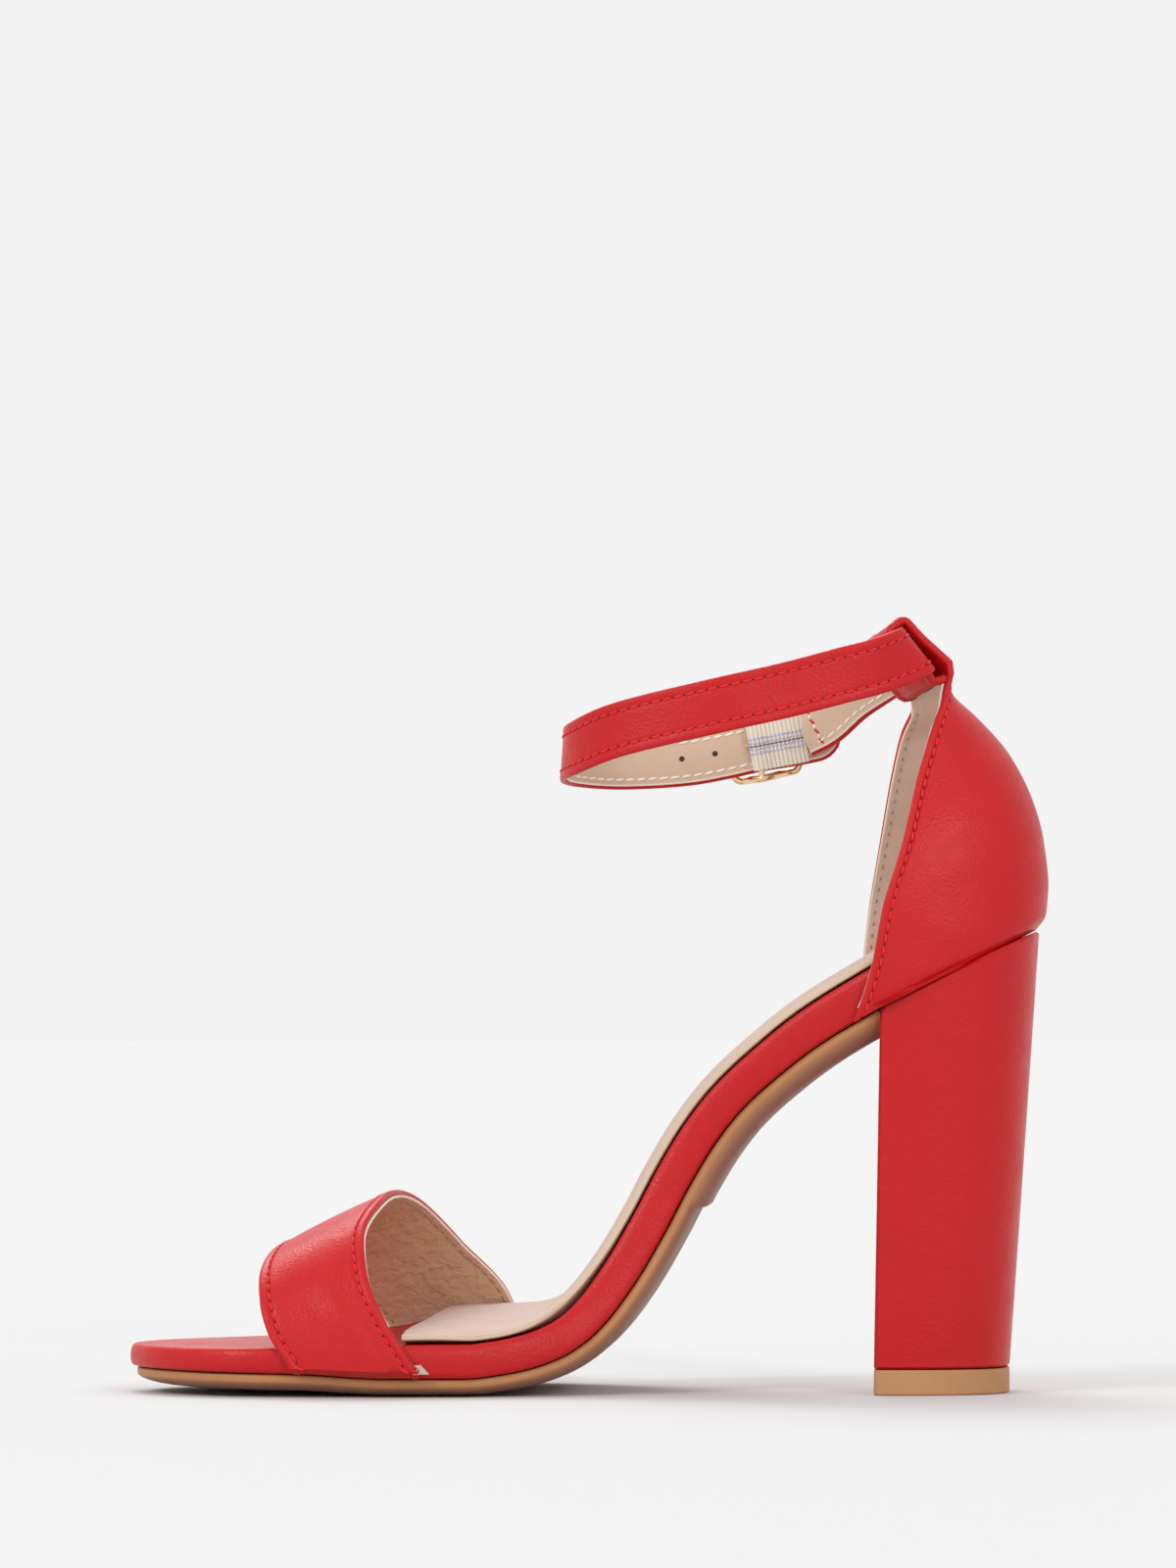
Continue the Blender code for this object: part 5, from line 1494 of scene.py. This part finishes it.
def make_elastic():
    """The ribbed elastic, folded round the buckle's bar and let into the strap's rear end."""
    bar, ahead, outward, across = buckle_frame()
    layer = WIRE / 2 + GAP + ELASTIC_WALL / 2
    rear = at_bend(REAR_BENDS[0]).lerp(at_bend(REAR_BENDS[1]), 0.12)
    reach = (rear - bar).dot(ahead)
    inner_out = (rear - bar).dot(outward) - 0.0003
    runs = [(reach, inner_out), (0.86 * reach, inner_out - 0.0006), (0.6 * reach, -layer - 0.0003),
            (0.3 * reach, -layer), (0.0, -layer)]
    for i in range(1, 12):
        turn = math.pi * i / 12
        runs.append((-layer * math.sin(turn), -layer * math.cos(turn)))
    runs += [(0.0, layer), (0.25 * reach, layer), (0.45 * reach, 0.9 * layer)]
    path = smooth_run([bar + ahead * a + outward * o for a, o in runs], 8)
    shares = np.linspace(-0.5, 0.5, ELASTIC_COLUMNS + 1)
    rows = np.array([[tuple(p + across * ELASTIC_WIDTH * float(w)) for w in shares] for p in path])
    rows = spaced_rows(rows, 0.00012)
    middle = np.array([[tuple(bar + ahead * 0.2 * reach + across * ELASTIC_WIDTH * float(w)) for w in shares]])
    normals = grid_normals(rows, rows - middle)
    along = lengths_along(rows[:, ELASTIC_COLUMNS // 2])
    wave = np.abs(np.sin(along / RIB_PITCH * math.pi))
    rib = (RIB_HEIGHT * np.sqrt(wave))[:, None] * np.ones((1, rows.shape[1]))
    wall = ELASTIC_WALL / 2
    # The rib valleys carry painted shade in the elastic's colour
    piece = slab("elastic_gore", rows, normals, wall - RIB_HEIGHT + rib, -wall + 0 * rib, ELASTIC, valley_painted_shade=1 - wave)
    stand_for(piece, "cream_elastic", "elastic")
    spots = spaced_rows(rows, 0.0004)
    ups = grid_normals(spots, spots - middle)
    lines = {"lilac": [], "dark": []}
    for label, offsets, pitch, slant in ELASTIC_LINES:
        for offset in offsets:
            column = int(round(ELASTIC_COLUMNS / 2 + offset))
            line = spots[:, column] + ups[:, column] * (wall - TOUCH)
            lines[label].append(stitch_places(line, ups[:, column], pitch, slant=slant))
    thread_rows("elastic_lilac_lines", lines["lilac"], LILAC_THREAD, "cream_elastic", 0.0009, 0.00042, 0.00030)
    thread_rows("elastic_dark_line", lines["dark"], DARK_THREAD, "cream_elastic", 0.0013, 0.00034, 0.00026)


def staged(name, verts, colour, roughness):
    """A plain studio surface, not part of the shoe."""
    mesh = bpy.data.meshes.new(name)
    mesh.from_pydata(verts, [], [(0, 1, 2, 3)])
    paper = Finish(name, colour, roughness, specular_ior_level=0.05)
    paper.rough(paper.noise(3.0, 2.0), roughness - 0.05, roughness)
    mesh.materials.append(paper.material)
    sheet = bpy.data.objects.new(name, mesh)
    bpy.context.scene.collection.objects.link(sheet)


def lay_floor():
    """A wide pale floor that runs to the horizon in the backdrop's own tone."""
    staged("studio_floor", FLOOR_CORNERS, FLOOR_TONE, 0.9)


def sun_light(name, place, strength, spread):
    """An even, soft light that comes from the direction of a place."""
    light = bpy.data.lights.new(name, "SUN")
    light.energy = strength
    light.angle = math.radians(spread)
    obj = bpy.data.objects.new(name, light)
    obj.location = place
    obj.rotation_euler = (-Vector(place)).to_track_quat("-Z", "Y").to_euler()
    bpy.context.scene.collection.objects.link(obj)


def set_studio():
    """Soft, even light and the photograph's viewpoint."""
    scene = bpy.context.scene
    world = bpy.data.worlds.new("studio")
    world.use_nodes = True
    world.node_tree.nodes["Background"].inputs["Color"].default_value = (1, 1, 1, 1)
    world.node_tree.nodes["Background"].inputs["Strength"].default_value = WORLD_STRENGTH
    scene.world = world
    scene.view_settings.view_transform = "Standard"
    scene.view_settings.look = "None"
    for name, place, strength, spread in LIGHTS:
        sun_light(name, place, strength, spread)
    middle = Vector(VIEW_CENTRE)
    stand = middle + CAMERA_DISTANCE * Vector((math.sin(CAMERA_AZIMUTH), -math.cos(CAMERA_AZIMUTH), 0))
    stand.z = CAMERA_HEIGHT
    camera = bpy.data.cameras.new("camera")
    camera.sensor_fit = "HORIZONTAL"
    camera.sensor_width = SENSOR
    camera.lens = SENSOR * (middle - stand).length / VIEW_WIDTH
    camera.clip_start, camera.clip_end = 0.05, 20
    obj = bpy.data.objects.new("camera", camera)
    obj.location = stand
    obj.rotation_euler = (middle - stand).to_track_quat("-Z", "Y").to_euler()
    scene.collection.objects.link(obj)
    scene.camera = obj


set_studio()
lay_floor()
make_footbed_cover()
make_tread()
make_sock()
make_heel_block()
make_heel_lift()
make_toe_strap()
make_counter()
make_ankle_strap()
make_buckle()
make_elastic()
